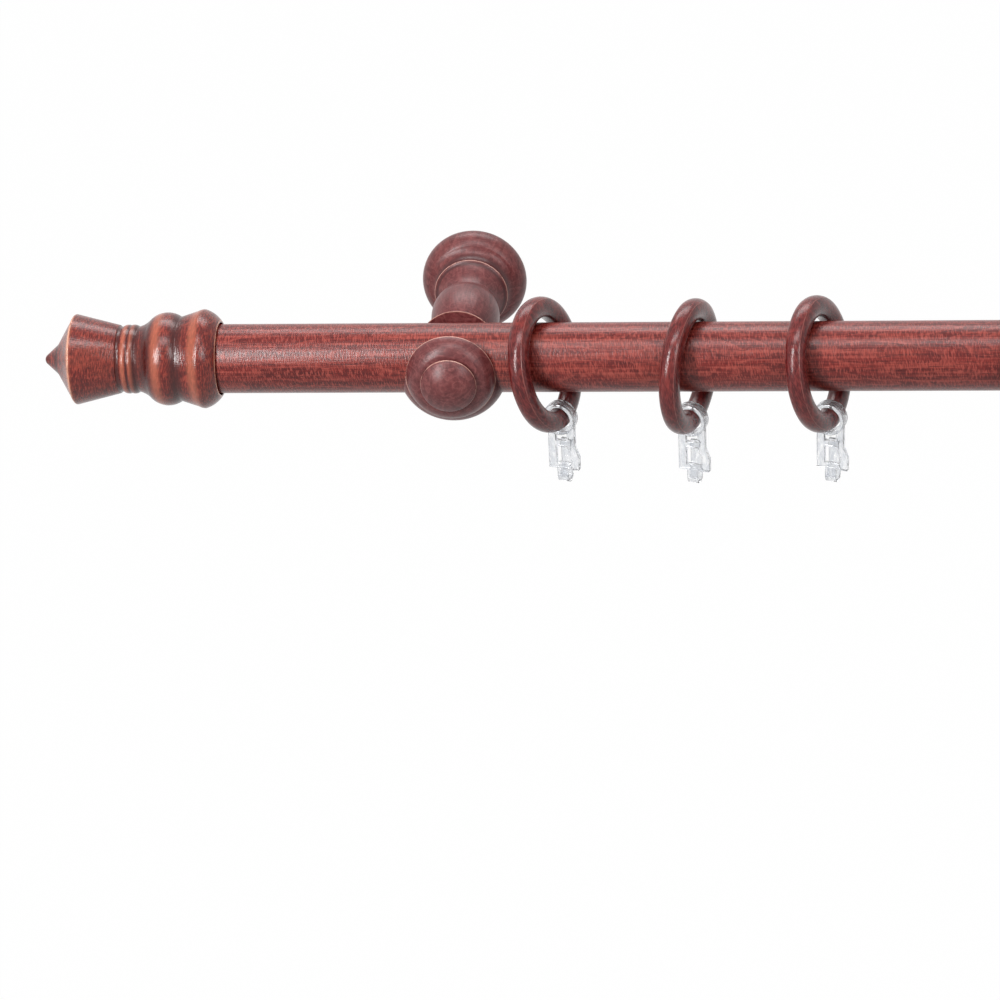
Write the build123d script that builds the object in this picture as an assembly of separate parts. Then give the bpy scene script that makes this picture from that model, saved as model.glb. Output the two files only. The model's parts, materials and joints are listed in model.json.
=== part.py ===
from build123d import *
import os
from math import cos, hypot, radians, sin

# Wooden curtain rod: a turned pole on two turned wall brackets, with finials, rings and clip hooks.
# Millimetres. X runs along the pole, +Y into the wall, +Z up. The viewer stands on the -Y side.
# The origin is the point where the left bracket's bolt enters the wall.

# Pole
POLE_LENGTH = 1200.0
POLE_DIAMETER = 28.0
POLE_END_CHAMFER = 0.8

# Where the pole is held
WALL_DISTANCE = 87.0
ARM_DROP = 2.0
BRACKET_INSET = 95.0

# Bracket seat, a U-shaped slot that the pole drops into from above
SEAT_CLEARANCE = 0.3
SEAT_FLOOR = 10.2
FRONT_LIP_FALL = 4.3
REAR_LIP_FALL = 6.1
BALL_FORWARD = 5.5

# Bracket front: shoulder, groove and domed button
SHOULDER_LENGTH = 6.6
SHOULDER_BULGE = 1.5
BUTTON_RADIUS = 11.3
BUTTON_GROOVE_WIDTH = 1.4
BUTTON_GROOVE_DEPTH = 0.9
BUTTON_LIP = 0.9
BUTTON_LIP_FALL = 0.3
BUTTON_DOME = 4.4

# Bracket arm and rosette
NECK_RADIUS = 9.8
BALL_BACK_LENGTH = 9.0
NECK_LENGTH = 5.0
BALL_BACK_BULGE = 1.0
BULB_RADIUS = 14.1
BULB_FORWARD = 12.0
THROAT_RADIUS = 9.4
THROAT_LENGTH = 11.0
THROAT_COVE = 1.2
COLLAR_RADIUS = 15.5
COLLAR_STEP = 0.9
ROSETTE_RADIUS = 22.1
ROSETTE_EDGE = 4.2
ROSETTE_BACK_ROUND = 1.6
ROSETTE_SHOULDER = 11.0
ROSETTE_SHOULDER_FALL = 3.6
ROSETTE_COVE = 2.2
COLLAR_FORWARD = 19.0

# Wall bolt: a machine thread in the bracket and a wood thread for the wall
BOLT_DIAMETER = 6.0
BOLT_IN_BRACKET = 30.0
WALL_THREAD_DIAMETER = 5.6
WALL_THREAD_LENGTH = 38.0
WALL_THREAD_POINT = 7.0
HOLE_CLEARANCE = 0.1

# Pole screw: goes up through the seat into the pole
POLE_SCREW_DIAMETER = 4.0
POLE_SCREW_HEAD = 7.6
POLE_SCREW_IN_POLE = 12.0
POLE_SCREW_HEAD_SINK = 1.2
SCREW_POINT = 3.0
SCREW_POINT_TIP = 0.2
RECESS_WIDTH = 1.0
RECESS_LENGTH = 4.4
RECESS_DEPTH = 1.6

# Finial: a sleeve that slips over the end of the pole
SOCKET_DEPTH = 24.0
SOCKET_CLEARANCE = 0.7
MOUTH_WALL = 0.6
SLEEVE_BEAD_WALL = 5.4
SLEEVE_BEAD_AT = 6.4
SLEEVE_BEAD_BULGE = 0.9
SLEEVE_TAPER_FALL = 0.6
SLEEVE_TAPER_AT = 8.8
SLEEVE_GROOVE_FALL = 3.0
SLEEVE_GROOVE_AT = 16.2
SECOND_BEAD_FALL = 1.2
SECOND_BEAD_AT = 21.8
SECOND_BEAD_END_FALL = 4.4
SECOND_BEAD_END = 28.8
FINIAL_NECK_RADIUS = 13.25
FINIAL_NECK_AT = 33.5
FINIAL_NECK_COVE = 0.35
SMALL_BEAD_LENGTH = 6.5
SMALL_BEAD_LINE = 0.5
SMALL_BEAD_BULGE = 0.5
TRUMPET_GAP = 1.2
TRUMPET_STEP = 0.65
TRUMPET_LENGTH = 17.8
TRUMPET_RIM_RADIUS = 18.4
TRUMPET_RIM_ROUND = 1.0
TRUMPET_RIM_BULGE = 0.3
END_CONE_LENGTH = 6.6
NOSE_RADIUS = 6.3
NOSE_LENGTH = 4.8
NOSE_END_RADIUS = 2.0
NOSE_TIP_LENGTH = 1.0

# Finial screw: a double-ended wood screw between pole and finial
FINIAL_SCREW_DIAMETER = 5.0
FINIAL_SCREW_IN_POLE = 26.0
FINIAL_SCREW_IN_FINIAL = 24.0

# Rings
RING_COUNT = 12
RING_BORE_PLAY = 9.4
RING_THICKNESS = 8.8
RING_WIDTH = 8.3
RING_ARRIS_WIDTH = 6.0
RING_ARRIS_HEIGHT = 6.7
RING_CLEARANCE = 0.3
HANG_STEP = 0.02
FIRST_RING = 36.9
FIRST_GAPS = (57.8, 51.7)
RING_YAWS = (18.4, 17.4, 19.6)
RING_LEANS = (13.3, 0.0, 10.9)

# Hooks: clear clips, a grooved C-loop round the ring with a ladder below
HOOK_RING_CLEARANCE = 0.5
HOOK_BAND = 1.7
HOOK_WIDTH = 4.5
HOOK_GROOVE_DEPTH = 0.6
HOOK_HANG = 0.3
LOOP_START = -125.0
LOOP_END = 155.0
LIP_RADIUS = 1.15
LADDER_THICKNESS = 2.4
LADDER_WIDTH = 11.3
LADDER_SHIFT = 0.5
LEG_WIDTH = 3.1
LEG_TOP = -2.4
RUNG_HEIGHT = 2.2
FIRST_RUNG = 4.4
SPLAY_DROP = 4.5
SPLAY_OUT = 1.7
RUNG_PITCH = 10.0
TONGUE_WIDTH = 4.6
TONGUE_THICKNESS = 1.6
TONGUE_GAP = 3.0
TONGUE_DROP = 5.0
TONGUE_RISE = 15.0

# Values that follow from the sizes above
pole_radius = POLE_DIAMETER / 2
pole_overhang = BRACKET_INSET + SOCKET_DEPTH
bracket_spacing = POLE_LENGTH - 2 * pole_overhang
seat_radius = pole_radius + SEAT_CLEARANCE
ball_radius = pole_radius + SEAT_FLOOR - ARM_DROP
socket_radius = pole_radius + SOCKET_CLEARANCE
sleeve_radius = socket_radius + SLEEVE_BEAD_WALL
ring_bore_radius = pole_radius + RING_BORE_PLAY / 2
ring_centre_radius = ring_bore_radius + RING_THICKNESS / 2
loop_radius = RING_THICKNESS / 2 + HOOK_RING_CLEARANCE + HOOK_HANG
loop_outer_radius = loop_radius + HOOK_BAND
hook_groove_width = HOOK_WIDTH / 5


def middle(first, last, bulge):
    """The middle of a stretch of turned outline, with the first coordinate, its radius, raised."""
    return ((first[0] + last[0]) / 2 + bulge, (first[1] + last[1]) / 2)


def along(first, last, bulge):
    """The middle of a stretch of turned outline, with the second coordinate, its radius, raised."""
    return ((first[0] + last[0]) / 2, (first[1] + last[1]) / 2 + bulge)


def upright(radius, length):
    """A round bar that stands on the XY plane."""
    return Cylinder(radius, length, align=(Align.CENTER, Align.CENTER, Align.MIN))


def pointed_shank(radius, length, point):
    """A round shank that stands on the XY plane, with a blunt point on top."""
    tip = Cone(radius, SCREW_POINT_TIP * radius, point, align=(Align.CENTER, Align.CENTER, Align.MIN))
    return upright(radius, length) + Pos(0, 0, length) * tip


def bracket_outline():
    """Half of the bracket's turned outline: x is the radius, y the distance out from the wall."""
    rear_lip = (ball_radius - REAR_LIP_FALL, WALL_DISTANCE - seat_radius)
    front_lip = (ball_radius - FRONT_LIP_FALL, WALL_DISTANCE + seat_radius)
    ball_crest = (ball_radius, WALL_DISTANCE + BALL_FORWARD)
    neck_front = (NECK_RADIUS, rear_lip[1] - BALL_BACK_LENGTH)
    neck_back = (NECK_RADIUS, neck_front[1] - NECK_LENGTH)
    throat = (THROAT_RADIUS, COLLAR_FORWARD + THROAT_LENGTH)
    bulb_crest = (BULB_RADIUS, throat[1] + BULB_FORWARD)
    collar = (COLLAR_RADIUS, COLLAR_FORWARD)
    collar_inner = (COLLAR_RADIUS - COLLAR_STEP, COLLAR_FORWARD + COLLAR_STEP / 2)
    shoulder = (ROSETTE_RADIUS - ROSETTE_SHOULDER_FALL, ROSETTE_SHOULDER)
    edge = (ROSETTE_RADIUS, ROSETTE_EDGE)
    back = (ROSETTE_RADIUS - ROSETTE_BACK_ROUND, 0)
    groove = front_lip[1] + SHOULDER_LENGTH
    groove_floor = BUTTON_RADIUS - BUTTON_GROOVE_DEPTH
    shoulder_end = (BUTTON_RADIUS + BUTTON_GROOVE_DEPTH, groove)
    rim = (BUTTON_RADIUS, groove + BUTTON_GROOVE_WIDTH)
    dome = (BUTTON_RADIUS - BUTTON_LIP_FALL, rim[1] + BUTTON_LIP)
    tip = (0, dome[1] + BUTTON_DOME)
    with BuildSketch() as outline:
        with BuildLine():
            Line((0, 0), back)
            TangentArc(edge, back, tangent=(0, -1))
            TangentArc(edge, shoulder, tangent=(0, 1))
            ThreePointArc(shoulder, middle(shoulder, collar, -ROSETTE_COVE), collar)
            Line(collar, collar_inner)
            ThreePointArc(collar_inner, middle(collar_inner, throat, -THROAT_COVE), throat)
            TangentArc(bulb_crest, throat, tangent=(0, -1))
            TangentArc(bulb_crest, neck_back, tangent=(0, 1))
            Line(neck_back, neck_front)
            ThreePointArc(neck_front, middle(neck_front, rear_lip, BALL_BACK_BULGE), rear_lip)
            TangentArc(ball_crest, rear_lip, tangent=(0, -1))
            TangentArc(ball_crest, front_lip, tangent=(0, 1))
            ThreePointArc(front_lip, middle(front_lip, shoulder_end, SHOULDER_BULGE), shoulder_end)
            Polyline(shoulder_end, (groove_floor, groove), (groove_floor, rim[1]), rim, dome)
            TangentArc(tip, dome, tangent=(1, 0))
            Line(tip, (0, 0))
        make_face()
    return outline.sketch


def screw_head_height():
    """Height of the flat of the pole screw's head, sunk into the underside of the ball."""
    return POLE_SCREW_HEAD_SINK - ball_radius


def screw_cone(clearance):
    """The countersunk cone of the pole screw's head, standing on its flat."""
    head = POLE_SCREW_HEAD / 2 + clearance
    shank = POLE_SCREW_DIAMETER / 2 + clearance
    return Cone(head, shank, head - shank, align=(Align.CENTER, Align.CENTER, Align.MIN))


def make_bracket(x):
    """One turned bracket with its pole seat, bolt hole and screw hole."""
    body = Rot(Z=180) * revolve(bracket_outline(), Axis.Y)
    reach = 3 * ball_radius
    seat_axis = Pos(0, -WALL_DISTANCE, ARM_DROP + SEAT_CLEARANCE)
    seat = Rot(Y=90) * Cylinder(seat_radius, reach)
    slot = Box(reach, 2 * seat_radius, reach, align=(Align.CENTER, Align.CENTER, Align.MIN))
    body -= seat_axis * seat
    body -= seat_axis * slot
    body -= Rot(X=90) * upright(BOLT_DIAMETER / 2 + HOLE_CLEARANCE, BOLT_IN_BRACKET)
    underside = Pos(0, -WALL_DISTANCE, screw_head_height())
    body -= underside * upright(POLE_SCREW_DIAMETER / 2 + HOLE_CLEARANCE, ball_radius)
    body -= underside * screw_cone(HOLE_CLEARANCE)
    body -= underside * Rot(X=180) * upright(POLE_SCREW_HEAD / 2 + HOLE_CLEARANCE, ball_radius)
    return Pos(x, 0, 0) * body


def make_pole_screw(x):
    """A countersunk screw that comes up through the seat and holds the pole."""
    start = screw_head_height()
    length = ARM_DROP - pole_radius + POLE_SCREW_IN_POLE - start - SCREW_POINT
    screw = pointed_shank(POLE_SCREW_DIAMETER / 2, length, SCREW_POINT) + screw_cone(0)
    for turn in (0, 90):
        screw -= Rot(Z=turn) * Box(RECESS_LENGTH, RECESS_WIDTH, 2 * RECESS_DEPTH)
    return Pos(x, -WALL_DISTANCE, start) * screw


def make_wall_bolt(x):
    """The double-ended bolt: machine thread in the bracket, wood thread out of its back."""
    in_bracket = Rot(X=90) * upright(BOLT_DIAMETER / 2, BOLT_IN_BRACKET)
    in_wall = Rot(X=-90) * pointed_shank(WALL_THREAD_DIAMETER / 2, WALL_THREAD_LENGTH, WALL_THREAD_POINT)
    return Pos(x, 0, 0) * (in_bracket + in_wall)


def make_pole():
    """The pole, with pilot holes for the screws that hold it and its finials."""
    rod = upright(pole_radius, POLE_LENGTH)
    rod = chamfer(rod.edges().filter_by(GeomType.CIRCLE), POLE_END_CHAMFER)
    pilot = upright(FINIAL_SCREW_DIAMETER / 2 + HOLE_CLEARANCE, FINIAL_SCREW_IN_POLE)
    rod -= pilot
    rod -= Pos(0, 0, POLE_LENGTH - FINIAL_SCREW_IN_POLE) * pilot
    rod = Pos(-pole_overhang, -WALL_DISTANCE, ARM_DROP) * Rot(Y=90) * rod
    screw_pilot = Cylinder(POLE_SCREW_DIAMETER / 2 + HOLE_CLEARANCE, 2 * POLE_SCREW_IN_POLE)
    for x in (0, bracket_spacing):
        rod -= Pos(x, -WALL_DISTANCE, ARM_DROP - pole_radius) * screw_pilot
    return rod


def finial_outline():
    """Half of the finial's turned outline: x is the distance out from the mouth, y the radius."""
    mouth = (0, socket_radius + MOUTH_WALL)
    bead = (SLEEVE_BEAD_AT, sleeve_radius)
    taper = (SLEEVE_TAPER_AT, sleeve_radius - SLEEVE_TAPER_FALL)
    groove = (SLEEVE_GROOVE_AT, sleeve_radius - SLEEVE_GROOVE_FALL)
    second_bead = (SECOND_BEAD_AT, sleeve_radius - SECOND_BEAD_FALL)
    second_end = (SECOND_BEAD_END, sleeve_radius - SECOND_BEAD_END_FALL)
    neck = (FINIAL_NECK_AT, FINIAL_NECK_RADIUS)
    small_line = (neck[0] + SMALL_BEAD_LENGTH / 2, FINIAL_NECK_RADIUS + SMALL_BEAD_LINE)
    small_end = (neck[0] + SMALL_BEAD_LENGTH, FINIAL_NECK_RADIUS)
    step_foot = (small_end[0] + TRUMPET_GAP, FINIAL_NECK_RADIUS)
    step = (step_foot[0] + TRUMPET_STEP / 2, FINIAL_NECK_RADIUS + TRUMPET_STEP)
    rim = (step[0] + TRUMPET_LENGTH, TRUMPET_RIM_RADIUS)
    rim_face = (rim[0] + TRUMPET_RIM_ROUND, TRUMPET_RIM_RADIUS - TRUMPET_RIM_ROUND)
    nose = (rim_face[0] + END_CONE_LENGTH, NOSE_RADIUS)
    nose_end = (nose[0] + NOSE_LENGTH, NOSE_END_RADIUS)
    tip = (nose_end[0] + NOSE_TIP_LENGTH, 0)
    with BuildSketch() as outline:
        with BuildLine():
            Line((0, 0), mouth)
            ThreePointArc(mouth, along(mouth, bead, SLEEVE_BEAD_BULGE), bead)
            TangentArc(bead, taper, tangent=(1, 0))
            Line(taper, groove)
            ThreePointArc(groove, second_bead, second_end)
            ThreePointArc(second_end, along(second_end, neck, -FINIAL_NECK_COVE), neck)
            ThreePointArc(neck, along(neck, small_line, SMALL_BEAD_BULGE), small_line)
            ThreePointArc(small_line, along(small_line, small_end, SMALL_BEAD_BULGE), small_end)
            Polyline(small_end, step_foot, step, rim)
            ThreePointArc(rim, along(rim, rim_face, TRUMPET_RIM_BULGE), rim_face)
            Polyline(rim_face, nose, nose_end)
            TangentArc(tip, nose_end, tangent=(0, 1))
            Line(tip, (0, 0))
        make_face()
    return outline.sketch


def make_finial(pole_end, turn):
    """One turned finial: a sleeve over the end of the pole, with the hole for its screw."""
    body = revolve(finial_outline(), Axis.X)
    body -= Rot(Y=90) * upright(socket_radius, SOCKET_DEPTH)
    body -= Rot(Y=90) * upright(
        FINIAL_SCREW_DIAMETER / 2 + HOLE_CLEARANCE, SOCKET_DEPTH + FINIAL_SCREW_IN_FINIAL
    )
    return Pos(pole_end, -WALL_DISTANCE, ARM_DROP) * Rot(Z=turn) * Pos(-SOCKET_DEPTH, 0, 0) * body


def make_finial_screw(pole_end, turn):
    """A double-ended wood screw, pointed at both ends, across the end of the pole."""
    radius = FINIAL_SCREW_DIAMETER / 2
    out = Rot(Y=90) * pointed_shank(radius, FINIAL_SCREW_IN_FINIAL - SCREW_POINT, SCREW_POINT)
    back = Rot(Y=-90) * pointed_shank(radius, FINIAL_SCREW_IN_POLE - SCREW_POINT, SCREW_POINT)
    return Pos(pole_end, -WALL_DISTANCE, ARM_DROP) * Rot(Z=turn) * (out + back)


def make_ring():
    """One turned ring about the X axis: a rounded section with a fine arris at each corner."""
    centre = ring_centre_radius
    out = centre + RING_ARRIS_HEIGHT / 2
    back = centre - RING_ARRIS_HEIGHT / 2
    side = RING_ARRIS_WIDTH / 2
    with BuildSketch() as section:
        with BuildLine():
            ThreePointArc((-side, out), (0, centre + RING_THICKNESS / 2), (side, out))
            ThreePointArc((side, out), (RING_WIDTH / 2, centre), (side, back))
            ThreePointArc((side, back), (0, centre - RING_THICKNESS / 2), (-side, back))
            ThreePointArc((-side, back), (-RING_WIDTH / 2, centre), (-side, out))
        make_face()
    return revolve(section.sketch, Axis.X)


def ring_places():
    """Where each ring stands along the pole: the first gaps as found, the rest evenly spread."""
    places = [FIRST_RING]
    for gap in FIRST_GAPS:
        places.append(places[-1] + gap)
    start = places[-1]
    rest = RING_COUNT - len(places)
    gap = (bracket_spacing - FIRST_RING - start) / rest
    for step in range(rest):
        places.append(start + gap * (step + 1))
    return places


def ring_gap(yaw, lean, drop):
    """The smallest gap between the pole and a turned ring whose centre hangs a drop below its axis."""
    nearest = pole_radius + ring_centre_radius
    for degrees in range(-90, 91):
        up = ring_centre_radius * cos(radians(degrees))
        across = ring_centre_radius * sin(radians(degrees))
        y = across * cos(radians(yaw)) + up * sin(radians(lean)) * sin(radians(yaw))
        z = up * cos(radians(lean)) - drop
        nearest = min(nearest, hypot(y, z))
    corner = hypot(RING_ARRIS_WIDTH, RING_ARRIS_HEIGHT) / 2
    return nearest - corner - pole_radius


def ring_stance(index, x):
    """The place and turn of one ring as it hangs on the pole at its own yaw and lean."""
    yaw = RING_YAWS[index % len(RING_YAWS)]
    lean = RING_LEANS[index % len(RING_LEANS)]
    drop = 0
    while ring_gap(yaw, lean, drop) > RING_CLEARANCE:
        drop += HANG_STEP
    return Pos(x, -WALL_DISTANCE, ARM_DROP - drop) * Rot(Z=-yaw) * Rot(Y=-lean)


def hook_stance(index, x):
    """The place and turn of one hook, upright at the lowest point of its ring."""
    yaw = RING_YAWS[index % len(RING_YAWS)]
    low_point = (ring_stance(index, x) * Pos(0, 0, -ring_centre_radius)).position
    return Pos(low_point) * Rot(Z=-yaw) * Pos(0, 0, -HOOK_HANG)


def make_loop():
    """The C of a hook about the Y axis, with grooves round the outside and a rounded lip."""
    middle_radius = loop_radius + HOOK_BAND / 2
    with BuildSketch() as band:
        with Locations((middle_radius, 0)):
            Rectangle(HOOK_BAND, HOOK_WIDTH)
        with Locations(
            (loop_outer_radius, -hook_groove_width),
            (loop_outer_radius, hook_groove_width),
        ):
            Rectangle(2 * HOOK_GROOVE_DEPTH, hook_groove_width, mode=Mode.SUBTRACT)
    band_sweep = revolve(band.sketch, Axis.Y, LOOP_END - LOOP_START)
    lip = Pos(middle_radius, 0, 0) * Rot(X=90) * Cylinder(LIP_RADIUS, HOOK_WIDTH)
    return Rot(Y=-LOOP_END) * (band_sweep + lip)


def ladder_outline():
    """The hook's ladder seen from the front: two legs, the right one splayed, and two rungs."""
    left = LADDER_SHIFT - LADDER_WIDTH / 2
    right = LADDER_SHIFT + LADDER_WIDTH / 2
    first_rung = -loop_outer_radius - FIRST_RUNG
    second_rung = first_rung - RUNG_PITCH
    splay = first_rung - RUNG_HEIGHT / 2
    foot = second_rung - RUNG_HEIGHT / 2
    splayed = right + SPLAY_OUT
    with BuildSketch(Plane.XZ) as outline:
        with BuildLine():
            Polyline((left, LEG_TOP - LEG_WIDTH), (left, foot), (left + LEG_WIDTH, foot),
                     (left + LEG_WIDTH, LEG_TOP - LEG_WIDTH), close=True)
        make_face()
        with BuildLine():
            Polyline(
                (right, LEG_TOP),
                (right, splay),
                (splayed, splay - SPLAY_DROP),
                (splayed, foot),
                (splayed - LEG_WIDTH, foot),
                (splayed - LEG_WIDTH, splay - SPLAY_DROP),
                (right - LEG_WIDTH, splay),
                (right - LEG_WIDTH, LEG_TOP),
                close=True,
            )
        make_face()
        with Locations(((left + right) / 2, first_rung)):
            Rectangle(LADDER_WIDTH - LEG_WIDTH, RUNG_HEIGHT)
        with Locations(((left + splayed) / 2, second_rung)):
            Rectangle(splayed - left - LEG_WIDTH, RUNG_HEIGHT)
    return outline.sketch


def make_tongue():
    """The tongue that takes the heading tape: down from the lower rung, round and up behind."""
    top = -loop_outer_radius - FIRST_RUNG - RUNG_PITCH
    bottom = top - TONGUE_DROP
    back = TONGUE_GAP + TONGUE_THICKNESS
    with BuildSketch(Plane.YZ) as side:
        with BuildLine():
            Line((0, top), (0, bottom))
            ThreePointArc((0, bottom), (back / 2, bottom - back / 2), (back, bottom))
            Line((back, bottom), (back, bottom + TONGUE_RISE))
        trace(line_width=TONGUE_THICKNESS)
    return Pos(LADDER_SHIFT, 0, 0) * extrude(side.sketch, TONGUE_WIDTH / 2, both=True)


def make_hook():
    """One clear hook about its loop's centre: C-loop, ladder and tongue in one moulding."""
    ladder = extrude(ladder_outline(), LADDER_THICKNESS / 2, both=True)
    ladder -= Rot(X=90) * Cylinder(loop_radius, HOOK_WIDTH)
    return make_loop() + ladder + make_tongue()


def save(name, shape):
    """Write one piece to its own file."""
    export_step(shape, os.path.join("parts", name + ".step"))


os.makedirs("parts", exist_ok=True)

# The pole and what ends it
save("pole", make_pole())
for side, pole_end, turn in (("left", -pole_overhang, 180), ("right", bracket_spacing + pole_overhang, 0)):
    save("finial_" + side, make_finial(pole_end, turn))
    save("finial_screw_" + side, make_finial_screw(pole_end, turn))

# The brackets and their fixings
for side, x in (("left", 0), ("right", bracket_spacing)):
    save("bracket_" + side, make_bracket(x))
    save("pole_screw_" + side, make_pole_screw(x))
    save("wall_bolt_" + side, make_wall_bolt(x))

# The rings, each with its hook
ring = make_ring()
hook = make_hook()
for index, x in enumerate(ring_places()):
    number = f"{index + 1:02d}"
    save("ring_" + number, ring_stance(index, x) * ring)
    save("hook_" + number, hook_stance(index, x) * hook)
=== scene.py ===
"""Looks of a turned wooden curtain rod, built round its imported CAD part.

Places are in metres in the part's own frame: X runs along the pole, +Y into the wall, +Z up.
The origin is the point where the left bracket's bolt enters the wall. Sizes of turned outlines
are in millimetres, as a turner would note them.
"""

import json
import logging
import math
from dataclasses import dataclass, field
from enum import Enum
from typing import Sequence

import bpy
import numpy as np
from mathutils import Matrix, Vector

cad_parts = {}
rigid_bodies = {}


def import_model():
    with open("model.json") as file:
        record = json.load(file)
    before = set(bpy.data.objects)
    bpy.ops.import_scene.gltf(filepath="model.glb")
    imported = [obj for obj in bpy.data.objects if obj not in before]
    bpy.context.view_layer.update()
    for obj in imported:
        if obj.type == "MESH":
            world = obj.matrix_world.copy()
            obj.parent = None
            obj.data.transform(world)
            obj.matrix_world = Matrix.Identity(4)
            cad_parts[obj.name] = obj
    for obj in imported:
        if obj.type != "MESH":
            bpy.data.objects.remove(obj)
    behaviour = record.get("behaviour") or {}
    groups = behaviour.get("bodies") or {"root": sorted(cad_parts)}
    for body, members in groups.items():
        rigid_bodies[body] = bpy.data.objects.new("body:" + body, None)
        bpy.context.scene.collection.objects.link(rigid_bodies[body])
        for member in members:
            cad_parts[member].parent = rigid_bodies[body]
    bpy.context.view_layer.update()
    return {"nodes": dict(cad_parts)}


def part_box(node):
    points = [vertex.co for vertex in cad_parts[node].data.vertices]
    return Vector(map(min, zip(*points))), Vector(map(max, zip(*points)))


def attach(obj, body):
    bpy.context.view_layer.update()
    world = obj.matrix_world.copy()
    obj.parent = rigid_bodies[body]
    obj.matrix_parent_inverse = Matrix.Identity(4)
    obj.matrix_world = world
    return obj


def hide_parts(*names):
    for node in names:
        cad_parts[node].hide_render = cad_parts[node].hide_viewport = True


for leftover in list(bpy.data.objects):
    bpy.data.objects.remove(leftover)

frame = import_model()

log = logging.getLogger("curtain_rod")

MM = 0.001

# Vertices closer than this are welded, in millimetres: in turned pieces, and in others
TURNED_WELD = 0.01
WELD = 0.002

Point = tuple[float, float]
Colour = tuple[float, float, float]


def linear(shown: float) -> float:
    """Turns a value from 0 to 1 as seen on an sRGB screen into a linear one."""
    if shown <= 0.04045:
        return shown / 12.92
    return ((shown + 0.055) / 1.055) ** 2.4


def stain(red: int, green: int, blue: int) -> Colour:
    """Turns a colour as seen on a screen into the linear values that a shader takes.

    Args:
        red: Red from 0 to 255.
        green: Green from 0 to 255.
        blue: Blue from 0 to 255.

    Returns:
        The three linear values.
    """
    return tuple(linear(value / 255) for value in (red, green, blue))


class Side(Enum):
    """The two ends of the rod, as seen from the room."""

    LEFT = "left"
    RIGHT = "right"

    @property
    def outward(self) -> int:
        """The sign of X on the way out past this end of the pole."""
        return -1 if self is Side.LEFT else 1


class Slot(Enum):
    """The finishes that the record names."""

    POLE = "pole_wood"
    FINIAL = "finial_wood"
    BRACKET = "bracket_wood"
    RING = "ring_wood"
    HOOK = "hook_plastic"
    STEEL = "steel"


class Outline:
    """Half of a turned outline, walked point by point: distance along the axis, then radius.

    Attributes:
        STEP: Longest step on an arc, in millimetres.
        points: The points walked so far, in millimetres.
    """

    STEP = 0.32

    def __init__(self, start: Point) -> None:
        """Puts the first point down.

        Args:
            start: Distance along the axis and radius, in millimetres.
        """
        self.points = [start]

    def line_to(self, *ends: Point) -> "Outline":
        """Walks straight to each point in turn and returns the outline."""
        self.points.extend(ends)
        return self

    def arc_to(self, through: Point, end: Point) -> "Outline":
        """Walks along the arc through one point to another.

        Args:
            through: A point on the way.
            end: The point where the arc ends.

        Returns:
            The outline itself, so that steps can follow each other.
        """
        start = self.points[-1]
        (ax, ay), (bx, by), (cx, cy) = start, through, end
        twice = 2 * (ax * (by - cy) + bx * (cy - ay) + cx * (ay - by))
        sizes = (ax * ax + ay * ay, bx * bx + by * by, cx * cx + cy * cy)
        mx = (sizes[0] * (by - cy) + sizes[1] * (cy - ay) + sizes[2] * (ay - by)) / twice
        my = (sizes[0] * (cx - bx) + sizes[1] * (ax - cx) + sizes[2] * (bx - ax)) / twice
        radius = math.hypot(ax - mx, ay - my)
        first, middle, last = (math.atan2(y - my, x - mx) for x, y in (start, through, end))
        full = 2 * math.pi
        sweep = (last - first) % full
        if (middle - first) % full > sweep:
            sweep -= full
        count = max(2, math.ceil(abs(sweep) * radius / self.STEP))
        for index in range(1, count):
            angle = first + sweep * index / count
            self.points.append((mx + radius * math.cos(angle), my + radius * math.sin(angle)))
        self.points.append(end)
        return self

    def swell_to(self, end: Point, swell: float) -> "Outline":
        """Walks to a point along an arc whose middle is raised by a swell on the radius."""
        start = self.points[-1]
        return self.arc_to(((start[0] + end[0]) / 2, (start[1] + end[1]) / 2 + swell), end)

    def glide_to(self, end: Point, heading: Point) -> "Outline":
        """Walks along the arc that leaves the last point in a given direction."""
        return self.arc_to(arc_middle(self.points[-1], end, heading), end)

    def land_at(self, end: Point, heading: Point) -> "Outline":
        """Walks along the arc that leaves the end point, seen backwards, in a given direction."""
        return self.arc_to(arc_middle(end, self.points[-1], heading), end)


def arc_middle(start: Point, end: Point, heading: Point) -> Point:
    """Finds the middle of the arc that leaves a point in a given direction and ends at another.

    Args:
        start: Where the arc starts.
        end: Where it ends.
        heading: The direction in which it leaves its start, of length one.

    Returns:
        The middle of the arc.
    """
    chord = (end[0] - start[0], end[1] - start[1])
    length = math.hypot(*chord)
    turn = math.atan2(
        heading[0] * chord[1] - heading[1] * chord[0],
        heading[0] * chord[0] + heading[1] * chord[1],
    )
    sagitta = length / 2 * math.tan(turn / 2)
    return (
        (start[0] + end[0]) / 2 + sagitta * chord[1] / length,
        (start[1] + end[1]) / 2 - sagitta * chord[0] / length,
    )


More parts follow.
